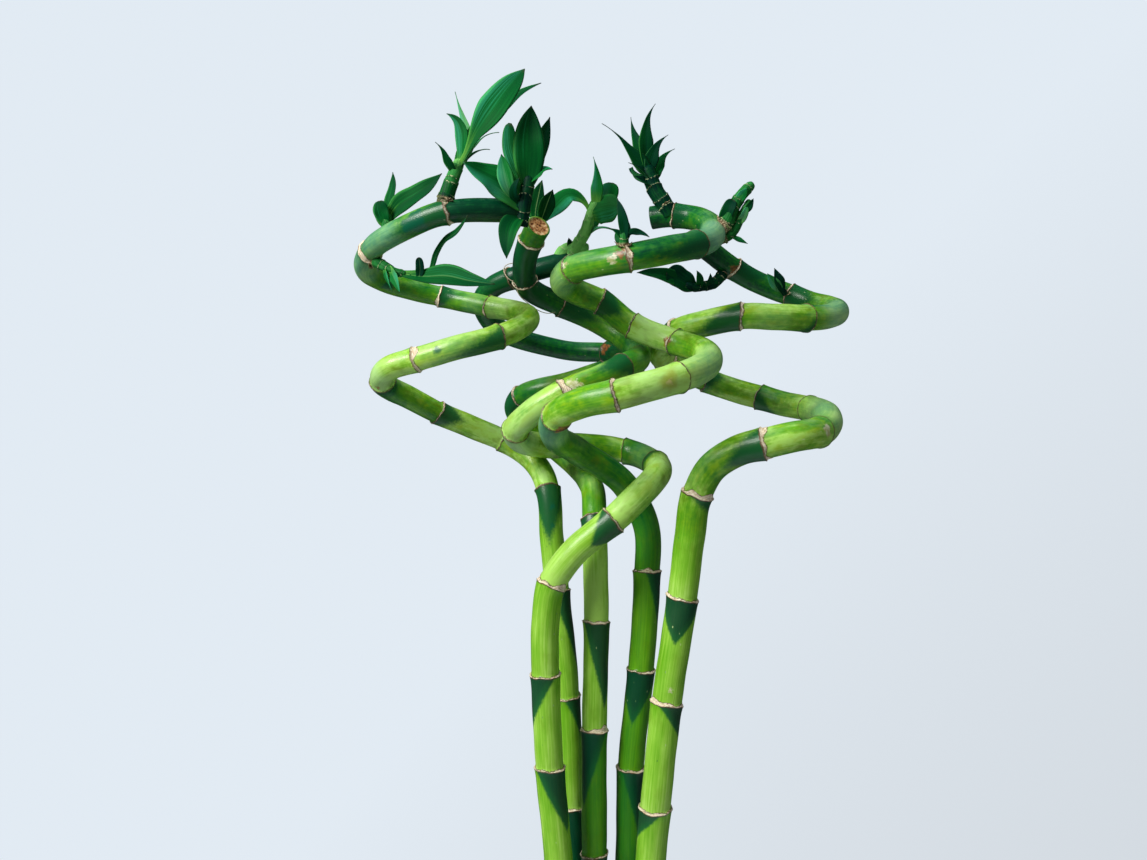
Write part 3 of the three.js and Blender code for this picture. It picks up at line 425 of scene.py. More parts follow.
# Dark wedge under each ring: the way that its middle faces, and its length
WEDGES = {
    "cane_left": [((0.6, -0.8, 0), 40), ((1, 0.2, 0), 30), ((1, 0, 0), 45), ((-0.1, -1, 0), 28),
                  ((0, 1, 0), 6), ((0, -1, 0.3), 15), ((0.5, -1, 0), 10), ((0, 1, 0), 20),
                  ((0, -0.7, -0.8), 26), ((0, 1, 0), 18), ((0, -1, 0.3), 12), ((0.8, -0.4, 0.5), 16),
                  ((0.1, -1, -0.5), 30)],
    "cane_front": [((0.9, -0.6, 0), 30), ((-1, -0.3, 0), 24), ((0.3, 1, 0), 20), ((0.2, -1, -0.4), 15),
                   ((-0.5, -0.8, 0.3), 6), ((0, 1, 0), 14), ((-0.3, 1, 0), 16), ((0, 1, 0.2), 16),
                   ((0, -1, 0.5), 20), ((0, -1, 0), 26), ((0, -1, 0), 20), ((0.3, -1, 0), 24)],
    "cane_centre": [((1, -0.3, 0), 44), ((-0.35, -1, 0), 26), ((1, 0.25, 0), 40), ((0, 1, 0), 16),
                    ((0, 1, 0), 14), ((0, 1, 0), 14), ((0, 1, 0.4), 12), ((0, 1, 0), 14),
                    ((0, -1, 0), 14), ((-0.4, 1, 0), 12), ((0, 1, 0), 14), ((0, -1, -0.5), 26),
                    ((-0.5, -1, 0), 12)],
    "cane_right": [((-1, 0.2, 0), 18), ((1, -0.2, 0), 16), ((-0.2, -1, 0), 21), ((0.8, -0.3, 0), 8),
                   ((0.2, -0.9, -0.5), 20), ((0, 1, 0), 8), ((0, 1, 0), 14), ((0, -0.5, -1), 14),
                   ((0, -0.8, 0.5), 10), ((0, 1, 0), 14), ((0, -1, 0), 10), ((0, -0.8, -0.6), 22),
                   ((0, 0.3, -1), 9), ((0, -1, 0), 24), ((0, -1, 0.3), 22)],
    "cane_back": [((0, -1, 0), 20), ((-0.9, -0.6, 0), 36), ((0.8, -0.7, 0), 42), ((-0.6, -0.8, 0), 12),
                  ((-1, -0.5, -0.5), 15), ((0, -1, 0), 10), ((0, -1, 0.4), 20), ((0, -1, 0), 18)],
}

# Height of the papery scar, in millimetres, of rings that are broader or thinner than most
SCARS = {
    "cane_left": {3: 0.3, 4: 0.1, 5: 0.4, 6: 0.1, 7: 4.5, 10: 2.3, 11: 2.4, 12: 2.2},
    "cane_front": {2: 3.0, 3: 0.8, 4: 0.2, 5: 0.2, 6: 0.1, 7: 2.8, 8: 0.4, 10: 0.5},
    "cane_centre": {3: 0.1, 5: 0.2, 6: 1.2, 7: 0.3, 8: 0.4, 9: 0.1, 10: 0.8, 11: 0.4},
    "cane_right": {1: 2.2, 3: 3.2, 4: 2.6, 5: 0.1, 6: 0.3, 7: 0.4, 11: 1.3, 12: 1.5, 13: 1.2},
    "cane_back": {1: 2.4, 4: 0.5, 5: 1.6, 7: 0.4},
}

# Single marks: ring number, distance past that ring, the way the mark faces, its size and its kind
MARKS = {
    "cane_left": [(7, 14, (0, -1, 0.1), 1.7, "dark"), (6, 3, (0, -1, -0.3), 1.2, "orange"),
                  (11, 39, (0, -1, -0.2), 5.5, "dark"), (10, 33, (0.4, -1, -0.4), 3.6, "dark"),
                  (3, -9, (0.2, -1, 0), 1.3, "dark"), (3, -18, (0.2, -1, 0), 1.2, "dark")],
    "cane_front": [(7, 5, (0, -1, 0.3), 3.4, "pale")],
    "cane_centre": [(5, -10, (0, -1, -0.1), 2.2, "tan"), (4, 22, (0, -1, 0.3), 1.0, "tan"),
                    (6, 1, (0, -1, -0.3), 2.6, "orange"), (3, 1, (0.5, -0.7, -0.7), 3.0, "orange"),
                    (9, 1.2, (0, -1, 0.2), 1.6, "pale"), (10, -2, (0, -1, 0.2), 2.0, "orange"),
                    (10, -5, (0, -1, -0.1), 2.0, "pale")],
    "cane_right": [(14, 2.0, (0, -1, -0.3), 2.8, "orange"), (4, 28, (0.4, -1, 0.2), 3.0, "pale"),
                   (1, 8, (0, -1, 0), 1.3, "pale")],
    "cane_back": [(6, -4, (0, -1, 0.2), 3.6, "orange")],
}

# Bands of pale bloom and painted sheen on the bends: ring number, distance past that ring, half its
# length, and strength. Each band is partly the real pale bloom of bent skin, partly painted sheen for
# reflected light
BLOOMS_AND_SHEEN = {
    "cane_left": [(11, -12, 17, 0.85), (6, 6, 10, 0.95), (7, 18, 20, 0.4), (9, -8, 11, 0.5),
                  (11, 16, 20, 0.85), (9, 9, 9, 0.4)],
    "cane_front": [(4, 9, 12, 0.6), (6, -9, 13, 1.4), (6, 14, 16, 0.45), (3, 18, 14, 0.25)],
    "cane_centre": [(5, 22, 30, 0.95), (7, -12, 14, 0.6), (3, -10, 13, 0.8), (9, -10, 12, 0.65),
                    (11, 18, 28, 1.0), (5, -14, 14, 0.35)],
    "cane_right": [(5, 32, 44, 0.95), (6, 14, 14, 0.3), (12, 26, 24, 1.0), (11, 14, 12, 0.3)],
    "cane_back": [(4, -9, 9, 0.2)],
}

# Of each shoot: how bright its stem is at its foot and top, how many papery scales stand round its
# foot, how pale its midribs are, and how bright each leaf is. These brightnesses are partly the parts' own
# colour and partly painted light, set lighter where a stem or leaf sits in shade
SHOOT_LOOKS = {
    "shoot_tall": (0.15, 0.95, 5, 0.0, [0.42, 0.34, 0.46, 0.9, 0.3, 0.1, 0.75, 0.4]),
    "shoot_upper_left": (0.5, 0.6, 0, 0.0, [0.32, 0.33, 0.35, 0.35]),
    "shoot_trailing": (0.5, 0.4, 4, 0.28, [0.37, 0.3, 0.05, 0.62, 0.5]),
    "shoot_dark": (0.0, 0.1, 0, 0.0, [0.34, 0.43, 0.25, 0.6, 0.56, 0.7, 0.1, 0.29, 0.3]),
    "shoot_cut_top": (0.2, 0.3, 0, 1.0, [0.3, 0.25, 0.3]),
    "shoot_back": (1.0, 0.95, 0, 0.0, [0.54, 0.44, 0.68, 0.5, 0.8, 0.05, 0.35, 0.35]),
    "shoot_spike": (0.6, 0.35, 5, 0.0, [0.1, 0.1, 0.15, 0.2, 0.2]),
    "shoot_crown": (0.1, 0.05, 2, 0.0, [0.18, 0.2, 0.2, 0.1, 0.35, 0.1, 0.05, 0.12, 0.1, 0.1]),
    "shoot_stubs": (0.4, 0.5, 3, 0.0, [0.15, 0.6, 0.85, 0.2, 0.35]),
    "shoot_low_right": (0.1, 0.0, 2, 0.0, [0.3, 0.12, 0.3, 0.1, 0.15]),
    "shoot_leaflet": (0.05, 0.05, 2, 0.0, [0.05, 0.75]),
}


def unit(v):
    v = np.asarray(v, float)
    return v / np.maximum(np.linalg.norm(v, axis=-1, keepdims=True), 1e-9)


def blend(low, high, value):
    """Smooth step from 0 at low to 1 at high."""
    t = np.clip((value - low) / (high - low), 0, 1)
    return t * t * (3 - 2 * t)


def circle(sides):
    return 2 * np.pi * np.arange(sides) / sides


def tube(radius, theta, height):
    """Points about a straight Z axis."""
    return np.stack([radius * np.cos(theta), radius * np.sin(theta), height + 0 * theta], -1)


def strand(points):
    """Smooth line of near-circular arcs through the points: places, distances, and the points' distances."""
    points = np.array(points, float)
    chords = np.diff(points, axis=0)
    lengths = np.linalg.norm(chords, axis=1)
    headings = chords / lengths[:, None]
    tangents = np.empty_like(points)
    tangents[1:-1] = unit(headings[:-1] * lengths[1:, None] + headings[1:] * lengths[:-1, None])
    tangents[0] = unit(2 * headings[0] - tangents[1])
    tangents[-1] = unit(2 * headings[-1] - tangents[-2])
    parts = []
    knots = []
    count = 0
    for i, length in enumerate(lengths):
        turn = math.acos(np.clip(tangents[i] @ tangents[i + 1], -1, 1))
        reach = length * (1 if turn < 0.001 else 2 * math.tan(turn / 4) / math.sin(turn / 2))
        steps = max(8, math.ceil(2 * length))
        t = (np.arange(steps) / steps)[:, None]
        parts.append(points[i] * (2 * t**3 - 3 * t**2 + 1) + tangents[i] * reach * (t**3 - 2 * t**2 + t)
                     + points[i + 1] * (3 * t**2 - 2 * t**3) + tangents[i + 1] * reach * (t**3 - t**2))
        knots.append(count)
        count += steps
    knots.append(count)
    places = np.vstack(parts + [points[-1:]])
    along = np.concatenate([[0], np.cumsum(np.linalg.norm(np.diff(places, axis=0), axis=1))])
    return {"places": places, "along": along, "knots": along[knots], "length": along[-1]}


def on_line(line, distances):
    """Places and headings at these distances."""
    steps = unit(np.gradient(line["places"], axis=0))
    places, headings = [np.stack([np.interp(distances, line["along"], column) for column in rows.T], 1)
                        for rows in (line["places"], steps)]
    return places, unit(headings)


def turned(theta, middle):
    """Signed angles from middle to theta, from -pi to pi."""
    return np.angle(np.exp(1j * (theta - middle)))


def frames(headings):
    """Two directions across each heading that turn as little as they can along the line."""
    across = np.array([1.0, 0, 0] if abs(headings[0][1]) > 0.9 else [0, 1.0, 0])
    rows = []
    for heading in headings:
        across = unit(across - heading * (across @ heading))
        rows.append(across)
    rows = np.array(rows)
    return rows, np.cross(headings, rows)


def spokes(frame, theta):
    """Directions out from each place of a line, one at each angle."""
    across, other = frame
    return across[:, None] * np.cos(theta)[None, :, None] + other[:, None] * np.sin(theta)[None, :, None]


class Lofts:
    """Closed bodies, with values on each point, gathered into one mesh."""

    def __init__(self):
        self.points = []
        self.faces = []
        self.values = {}
        self.count = 0

    def add_body(self, points, faces, **values):
        self.points.append(points)
        self.faces.extend([self.count + i for i in face] for face in faces)
        for name, value in values.items():
            self.values.setdefault(name, []).append(value)
        self.count += len(points)

    def add(self, rings, **values):
        """Body made of rings of points."""
        rows, sides = rings.shape[:2]
        faces = []
        for start in range(0, (rows - 1) * sides, sides):
            for i in range(sides):
                j = (i + 1) % sides
                faces.append((start + i, start + j, start + sides + j, start + sides + i))
        faces.append(range(sides - 1, -1, -1))
        faces.append(range((rows - 1) * sides, rows * sides))
        flat = {}
        for name, value in values.items():
            full = np.broadcast_to(np.asarray(value, float), (rows, sides) + np.shape(value)[2:])
            flat[name] = full.reshape(rows * sides, *full.shape[2:])
        self.add_body(rings.reshape(-1, 3), faces, **flat)

    def build(self, name, material, node, slot):
        """Puts the mesh in the scene, on the only body, in place of the CAD node that it stands for."""
        mesh = bpy.data.meshes.new(name)
        mesh.from_pydata((np.vstack(self.points) * MM).tolist(), [], self.faces)
        for key, parts in self.values.items():
            data = np.concatenate(parts).astype(np.float32)
            kind, field = ("FLOAT_VECTOR", "vector") if data.ndim == 2 else ("FLOAT", "value")
            mesh.attributes.new(key, kind, "POINT").data.foreach_set(field, data.ravel())
        mesh.shade_smooth()
        mesh.materials.append(material)
        piece = show(name, mesh)
        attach(piece, "root")
        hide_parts(node)


def show(name, data):
    """New object of the scene that holds this data."""
    thing = bpy.data.objects.new(name, data)
    bpy.context.scene.collection.objects.link(thing)
    return thing


def feed(tree, value, socket):
    """Joins a signal or an output to a socket, or sets the socket to a plain value."""
    if isinstance(value, Signal):
        value = value.socket
    if isinstance(value, bpy.types.NodeSocket):
        tree.links.new(value, socket)
    elif isinstance(value, tuple) and socket.type == "RGBA":
        socket.default_value = (*value, 1)
    else:
        socket.default_value = value


def make_node(tree, kind, inputs, **settings):
    node = tree.nodes.new(kind)
    for key, value in settings.items():
        setattr(node, key, value)
    for key, value in inputs.items():
        feed(tree, value, node.inputs[key])
    return node


class Signal:
    """Output of a shader node. Arithmetic and the calls below make further nodes that read it."""

    def __init__(self, tree, socket):
        self.tree = tree
        self.socket = socket

    def into(self, kind, output, inputs, **settings):
        return Signal(self.tree, make_node(self.tree, kind, inputs, **settings).outputs[output])

    def math(self, operation, other=0.0):
        return self.into("ShaderNodeMath", 0, {0: self, 1: other}, operation=operation)

    def __add__(self, other):
        return self.math("ADD", other)

    def __sub__(self, other):
        return self.math("SUBTRACT", other)

    def __mul__(self, other):
        return self.math("MULTIPLY", other)

    def __abs__(self):
        return self.math("ABSOLUTE")

    def stretched(self, factor):
        """The same place with its height drawn out or squeezed."""
        return self.into("ShaderNodeVectorMath", 0, {0: self, 1: (1, 1, factor)}, operation="MULTIPLY")

    def noise(self, scale, detail=3.0, roughness=0.55):
        return self.into("ShaderNodeTexNoise", "Fac", {"Vector": self, "Scale": scale, "Detail": detail,
                                                       "Roughness": roughness})

    def cells(self, scale):
        return self.into("ShaderNodeTexVoronoi", "Distance", {"Vector": self, "Scale": scale})

    def between(self, low, high, to_low=0.0, to_high=1.0):
        """Smooth step from to_low at low to to_high at high."""
        inputs = {"Value": self, "From Min": low, "From Max": high, "To Min": to_low, "To Max": to_high}
        return self.into("ShaderNodeMapRange", 0, inputs, interpolation_type="SMOOTHSTEP")

    def swing(self, low, high, amount):
        return self.between(low, high, -amount, amount)

    def mix(self, first, second):
        """First colour where this is 0, second where it is 1."""
        return self.into("ShaderNodeMix", 2, {"Factor": self, 6: first, 7: second}, data_type="RGBA")

    def ramp(self, stops):
        node = make_node(self.tree, "ShaderNodeValToRGB", {0: self})
        elements = node.color_ramp.elements
        while len(elements) < len(stops):
            elements.new(0.5)
        for element, (place, color) in zip(elements, stops):
            element.position = place
            element.color = (*color, 1)
        return Signal(self.tree, node.outputs[0])


class Look:
    """A procedural material: what its mesh holds, read as signals, and the sockets of its shader."""

    def __init__(self, name, roughness, specular):
        self.material = bpy.data.materials.new(name)
        self.material.use_nodes = True
        self.tree = self.material.node_tree
        self.shader = self.tree.nodes["Principled BSDF"]
        self.give("Roughness", roughness)
        self.give("Specular IOR Level", specular)

    def give(self, socket, value):
        feed(self.tree, value, self.shader.inputs[socket])

    def read(self, name, output="Fac"):
        node = make_node(self.tree, "ShaderNodeAttribute", {}, attribute_name=name)
        return Signal(self.tree, node.outputs[output])

    def place(self):
        return Signal(self.tree, make_node(self.tree, "ShaderNodeTexCoord", {}).outputs["Object"])

    def finish(self, color, height, strength, distance):
        """Sets the colour and the fine bumps, and gives the material."""
        node = make_node(self.tree, "ShaderNodeBump", {"Strength": strength, "Distance": distance,
                                                       "Height": height})
        self.give("Base Color", color)
        self.give("Normal", node.outputs[0])
        return self.material


class CaneLook(Look):
    """Skin of the canes: green with pale bloom and painted sheen, dark wedges, marks, papery ring scars and
    corky cut ends.
    """

    def __init__(self):
        super().__init__("cane_skin", 0.26, 0.34)
        self.straight = self.read("straight", "Vector")
        self.coil = self.read("coil")
        self.cut = self.read("cut")
        self.broad = self.straight.stretched(0.35).noise(0.09)
        self.streaks = self.straight.stretched(0.02).noise(1.3, 4, 0.6)
        self.blotch = self.straight.noise(0.35, 4, 0.6)
        self.ragged = self.straight.noise(0.9, 3, 0.6)
        self.torn = self.straight.stretched(1.6).noise(1.1, 4, 0.7)
        self.tone = self.toned()

    def toned(self):
        mottle = self.broad.swing(0.3, 0.7, 1.0) * self.coil.between(0, 1, 0.08, 0.24)
        tone = self.read("tone")
        tone = tone + mottle * tone.between(0.0, 0.6, 0.2, 1.0)
        tone = tone + self.streaks.swing(0.25, 0.75, 0.08)
        return tone + self.blotch.swing(0.3, 0.7, 0.09) * self.coil

    def green(self):
        """Skin in the colours of its tone, with olive and gold patches."""
        patches = self.straight.stretched(0.6).noise(0.16, 3, 0.6)
        olive = patches.between(0.5, 0.72, 0.0, 0.65) * self.coil.between(0, 1, 0.3, 1.0)
        gold = patches.between(0.5, 0.34, 0.0, 0.6) * self.tone.between(0.5, 0.85) * self.coil
        skin = (olive * self.tone.between(0.2, 0.5)).mix(self.tone.ramp(SKIN), OLIVE)
        return gold.mix(skin, GOLD)

    def bloomed_and_sheened(self, skin):
        """Pale bloom on the bends, partly real bloom and partly painted sheen, and a painted sky sheen on
        what faces up.
        """
        bloom = self.read("bloom") * self.streaks.between(0.15, 0.85, 0.6, 1.0)
        bloom = bloom * self.broad.between(0.35, 0.6, 0.7, 1.0)
        # Painted sky sheen: coiled skin made paler where it faces up, standing in for reflected sky light
        cloud = self.straight.stretched(0.5).noise(0.14, 4, 0.55)
        painted_sky_sheen = cloud.between(0.42, 0.66, 0.0, 0.45) * (self.coil * self.tone)
        painted_sky_sheen = painted_sky_sheen * self.read("upward").between(-0.3, 0.7, 0.15, 1.0)
        return bloom.math("MAXIMUM", painted_sky_sheen).mix(skin, self.tone.between(0.2, 0.9).mix(*BLOOM_AND_SHEEN_COLORS))

    def wedged(self, skin):
        """Dark wedges under the rings, and fine specks."""
        wedge = self.read("wedge") + self.ragged.swing(0.2, 0.8, 0.22)
        # In the coil the wedges are mixed towards a lighter colour, painted light against the shade there
        color = (self.coil * 0.6).mix(wedge.between(0.2, 3.6).mix(*WEDGE_COLORS), COILED_WEDGE_PAINTED_LIGHT)
        skin = wedge.between(-0.45, 0.8, 0.0, 0.95).mix(skin, color)
        specks = self.straight.stretched(0.4).cells(0.3).between(0.045, 0.08, 0.75, 0.0)
        return specks.mix(skin, self.broad.between(0.4, 0.6).mix(*SPECK_COLORS))

    def marked(self, skin):
        for kind, unevenness, start, full, strength, *colors in MARK_KINDS:
            field = self.read(f"mark_{kind}") + self.ragged.swing(0, 1, unevenness)
            color = colors[0] if len(colors) == 1 else self.blotch.between(0.4, 0.6).mix(*colors)
            skin = field.between(start, full, 0.0, strength).mix(skin, color)
        return skin

    def scarred(self, skin):
        """Papery band past each ring, with a thin dark line round it."""
        scar = self.read("scar") + self.torn.between(0.25, 0.75, -0.34, 0.3)
        paper = self.straight.stretched(3.0).noise(0.8, 4, 0.65).ramp(PAPER)
        line = abs(scar + 0.06).between(0.1, 0.3, 0.8, 0.0)
        seam = self.read("seam") + self.torn.swing(0.25, 0.75, 0.15)
        line = line.math("MAXIMUM", seam.between(0.0, 0.22, 0.0, 0.9))
        self.give("Roughness", scar.between(-0.05, 0.12, 0.3, 0.75) + self.cut * 0.4)
        skin = scar.between(-0.05, 0.12).mix(skin, paper)
        return line.mix(skin, self.blotch.between(0.4, 0.6).mix(*SEAM_COLORS))

    def whole(self):
        skin = self.scarred(self.marked(self.wedged(self.bloomed_and_sheened(self.green()))))
        grains = self.straight.cells(0.75)
        cork = (grains + self.blotch.swing(0.2, 0.8, 0.35)).ramp(CORK)
        height = self.streaks * 0.35 + self.torn * 0.5 + self.cut * grains
        return self.finish(self.cut.mix(skin, cork), height, 0.3, 0.0006)


def leaf_look():
    look = Look("leaf_blade", 0.56, 0.035)
    along = look.read("along")
    across = look.read("across")
    tone = look.read("tone")
    lanes = across.into("ShaderNodeCombineXYZ", 0, {0: across * 14.0, 1: along * 1.2, 2: tone * 31.0})
    veins = lanes.noise(1.0, 3, 0.5)
    # Veins vary the tone; the swing across the midrib paints one half of each blade lighter and the other
    # darker, painted light and shade of its fold
    tone = tone + veins.swing(0.3, 0.7, 0.08) + across.between(-0.14, 0.14, 0.055, -0.055)
    sheen = tone.between(0.4, 0.56, 0.0, 0.6) * along.between(0.25, 0.5) * across.between(0.35, -0.75)
    tone = tone - along.between(0.45, 1.0, 0.0, 0.14)
    base = along.between(0.02, tone.between(0.35, 0.52, 0.2, 0.42), 0.8, 0.0)
    base = base * (tone.between(0.25, 0.52) * look.read("stem_tone").between(0.0, 0.5))
    rib = abs(across)
    layers = (
        (sheen, SHEEN),
        (base, BLADE_BASE),
        (look.read("side").between(-0.2, 0.2, 0.3, 0.0), BLADE_UNDER),
        (rib.between(0.02, 0.09, 0.5, 0.0) * look.read("rib"), BLADE_RIB),
        (rib.between(0.93, 1.0, 0.0, 0.22), BLADE_EDGE),
        (across.between(-0.7, -1.0, 0.0, 0.4) * tone.between(0.1, 0.4), BLADE_LIT_EDGE),
        (along.between(0.93, 1.0, 0.0, 0.6), BLADE_DRY),
    )
    blade = tone.ramp(BLADE)
    for share, color in layers:
        blade = share.mix(blade, color)
    return look.finish(blade, veins, 0.35, 0.0004)


def sheath_look():
    look = Look("stem_sheath", 0.46, 0.06)
    straight = look.read("straight", "Vector")
    streaks = straight.stretched(0.06).noise(1.6, 4, 0.6)
    ragged = straight.noise(1.1, 3, 0.6)
    skin = (look.read("tone") + streaks.swing(0.25, 0.75, 0.15)).ramp(SHEATH)
    rim = look.read("rim") + ragged.swing(0.2, 0.8, 0.12)
    skin = rim.between(0.9, 1.02, 0.0, 0.75).mix(skin, SHEATH_RIM)
    skin = look.read("paper").mix(skin, ragged.between(0.42, 0.66).mix(*SHEATH_PAPER))
    return look.finish(skin, streaks, 0.4, 0.0005)


def pebble_look():
    look = Look("pebble_stone", 0.42, 0.4)
    local = look.read("local", "Vector")
    grain = local.noise(900.0, 5, 0.65)
    veins = local.stretched(3.0).noise(160.0, 3, 0.5)
    stone = grain.between(0.35, 0.65, 0.0, 0.35).mix(look.read("drawn").ramp(STONE), STONE_GRAIN)
    stone = abs(veins - 0.5).between(0.0, 0.03, 0.4, 0.0).mix(stone, STONE_VEIN)
    return look.finish(stone, grain, 0.25, 0.0003)


def glaze_look():
    """Pale glaze, bare at the foot and thin over the rim, whose heights are in metres."""
    look = Look("vase_glaze", 0.16, 0.5)
    look.give("Coat Weight", 0.5)
    look.give("Coat Roughness", 0.05)
    place = look.place()
    height = place.into("ShaderNodeSeparateXYZ", 2, {0: place})
    cloud = place.stretched(0.5).noise(14.0, 3, 0.5)
    specks = place.cells(330.0).between(0.08, 0.16, 0.55, 0.0) * cloud.between(0.45, 0.6)
    glaze = specks.mix(cloud.between(0.3, 0.7).mix(*GLAZE_COLORS), GLAZE_SPECK)
    glaze = height.between(0.0018, 0.0026, 1.0, 0.0).mix(glaze, BARE_CLAY)
    glaze = height.between(0.1972, 0.1996, 0.0, 0.5).mix(glaze, THIN_GLAZE)
    look.give("Roughness", height.between(0.0018, 0.0026, 0.7, 0.16))
    return look.finish(glaze, cloud, 0.12, 0.002)


def nearest(s, here):
    return int(np.argmin(np.abs(s - here)))


def cane_sections(length, ring_at):
    """Distances of the cross-sections, closer together at the rings."""
    plain = np.arange(0, length, CANE_STEP)
    far = np.min(np.abs(plain[:, None] - ring_at), axis=1) > RING_REACH
    near = (ring_at[:, None] + np.array(RING_OFFSETS)).ravel()
    every = np.sort(np.concatenate([plain[far], near[(near > 0) & (near < length)], [0, length]]))
    every = every[np.concatenate([[True], np.diff(every) > 0.12])]
    every[-1] = length
    return every


class Cane:
    """One cane: its cross-sections, and the values on its skin that the material reads."""

    def __init__(self, name, spec, seed):
        self.name = name
        self.seed = seed
        self.rng = np.random.default_rng(seed)
        line = strand([stop[:3] for stop in spec["route"]])
        self.ring_at = line["knots"][np.array([stop[3] for stop in spec["route"]])]
        self.s = cane_sections(line["length"], self.ring_at)
        self.places, self.headings = on_line(line, self.s)
        self.frame = frames(self.headings)
        self.theta = circle(CANE_SIDES)
        self.radial = spokes(self.frame, self.theta)
        self.plain = (spec["foot"] + (spec["top"] - spec["foot"]) * self.s / line["length"]) / 2
        self.radius = self.plain[:, None] * np.ones(CANE_SIDES)
        self.shift = np.zeros_like(self.radius)
        stretch = np.searchsorted(self.ring_at, self.s, side="right")
        self.values = {"tone": np.array(TONES[name])[stretch][:, None] + self.shift}
        for key in ("wedge", "scar", "seam", *(f"mark_{kind[0]}" for kind in MARK_KINDS)):
            self.values[key] = np.full_like(self.radius, FAR)

    def raise_value(self, key, amount):
        self.values[key] = np.maximum(self.values[key], amount)

    def off_middle(self, way, row):
        """Angles from the side of a cross-section that faces this way, from -pi to pi."""
        across, other = self.frame
        middle = math.atan2(np.dot(way, other[row]), np.dot(way, across[row]))
        return middle, turned(self.theta, middle)

    def add_ring(self, index):
        """Raised lip, neck, papery scar, seam and dark wedge of one ring."""
        d = (self.s - self.ring_at[index])[:, None]
        before = np.minimum(d, 0)
        past = np.maximum(d, 0)
        row = nearest(self.s, self.ring_at[index])
        size = self.plain[row]
        theta = self.theta
        way, reach = WEDGES[self.name][index]
        middle, off = self.off_middle(way, row)
        phases = self.rng.uniform(0, 2 * np.pi, 4)
        slope = math.tan(math.radians(self.rng.uniform(2, 8)))
        wave = (slope * size * np.cos(theta - phases[0]) + 0.22 * np.sin(3 * theta + phases[1])
                + 0.13 * np.sin(7 * theta + phases[2]) + 0.07 * np.sin(13 * theta + phases[3]))
        self.shift += np.cos(np.clip(d / RING_REACH, -1, 1) * np.pi / 2) ** 2 * wave
        self.radius += LIP_RISE * np.exp(before / LIP_BEFORE - np.maximum(d - SEAM_PLACE, 0) / LIP_PAST)
        self.radius -= NECK_DEPTH * np.exp(-past / NECK_LENGTH) * (1 - np.exp(-past / NECK_START))
        broad = SCARS[self.name].get(index, self.rng.uniform(0.5, 1.0))
        flap_at = middle + np.pi * self.rng.uniform(0.55, 1.45)
        flap = np.exp(-np.abs(turned(theta, flap_at) / 0.28) ** 1.5)
        uneven = 0.45 + 0.35 * np.sin(2 * theta + phases[1]) + 0.2 * np.sin(5 * theta + phases[2])
        height = 0.05 + broad * np.clip(uneven, 0, None) + 0.35 * min(1, broad)
        height += self.rng.uniform(0.6, 1.8) * min(1, broad) * flap
        inside = height / 2 + 0.12 - np.abs(d - height / 2 + 0.12)
        self.raise_value("scar", inside)
        self.raise_value("seam", SEAM_REACH - np.abs(d + SEAM_PLACE))
        papery = blend(-0.1, 0.25, inside) * (0.8 + 0.4 * np.sin(9 * theta + phases[3]))
        self.radius += PAPER_RISE * papery * min(1, 0.3 + broad)
        crisp = 1 - (1 - SOFT_WEDGE) * blend(COIL_FROM, COIL_FULL, self.places[row][2])
        depth = (1 + d / reach - np.abs(off) / 2) * 0.7 * min(2 * size, reach) * crisp
        self.raise_value("wedge", np.where((d <= 0.05) & (d > -reach - 8), depth, FAR))
        self.values["tone"] -= 0.1 * (d < 0) * np.exp(before / TONE_REACH)
        self.values["tone"] += 0.07 * ((d > 0) & (d < 40)) * np.exp(-past / TONE_REACH)

    def add_mark(self, index, past, way, size, kind):
        centre = self.ring_at[index] + past
        row = nearest(self.s, centre)
        side = self.off_middle(way, row)[1] * self.plain[row]
        gone = (self.s - centre)[:, None]
        bearing = np.arctan2(side, gone)
        outline = 1 + 0.22 * np.sin(3 * bearing + index) + 0.12 * np.sin(7 * bearing + past)
        self.raise_value(f"mark_{kind}", size * outline - np.hypot(gone, side))

    def add_swell(self):
        s = self.s[:, None]
        self.radius *= (1 + 0.012 * np.sin(s / 7.3 + 2 * self.theta + self.seed)
                        + 0.008 * np.sin(s / 3.1 - self.theta))

    def add_blooms_and_sheen(self):
        """Pale bands, strongest on the outer side of bends: partly real bloom of the bent skin, partly
        painted sheen.
        """
        outward = -np.einsum("nk,nmk->nm", np.gradient(self.headings, self.s, axis=0), self.radial)
        self.values["bloom"] = np.zeros_like(self.radius)
        for index, past, half, strength in BLOOMS_AND_SHEEN[self.name]:
            band = blend(1.0, 0.35, np.abs(self.s - self.ring_at[index] - past) / half)[:, None]
            self.raise_value("bloom", strength * band * (0.5 + 0.5 * blend(-0.04, 0.02, outward)))

    def add_places(self):
        """What the noises are read at, on a cane made straight, and where it is wound and faces up."""
        self.values["straight"] = tube(self.radius, self.theta, self.s[:, None])
        self.values["cut"] = np.zeros_like(self.radius)
        self.values["coil"] = blend(COIL_FROM, COIL_FULL, self.places[:, 2])[:, None] + 0 * self.radius
        # Which way the skin faces up, read by the painted sky sheen
        self.values["upward"] = self.radial[..., 2]

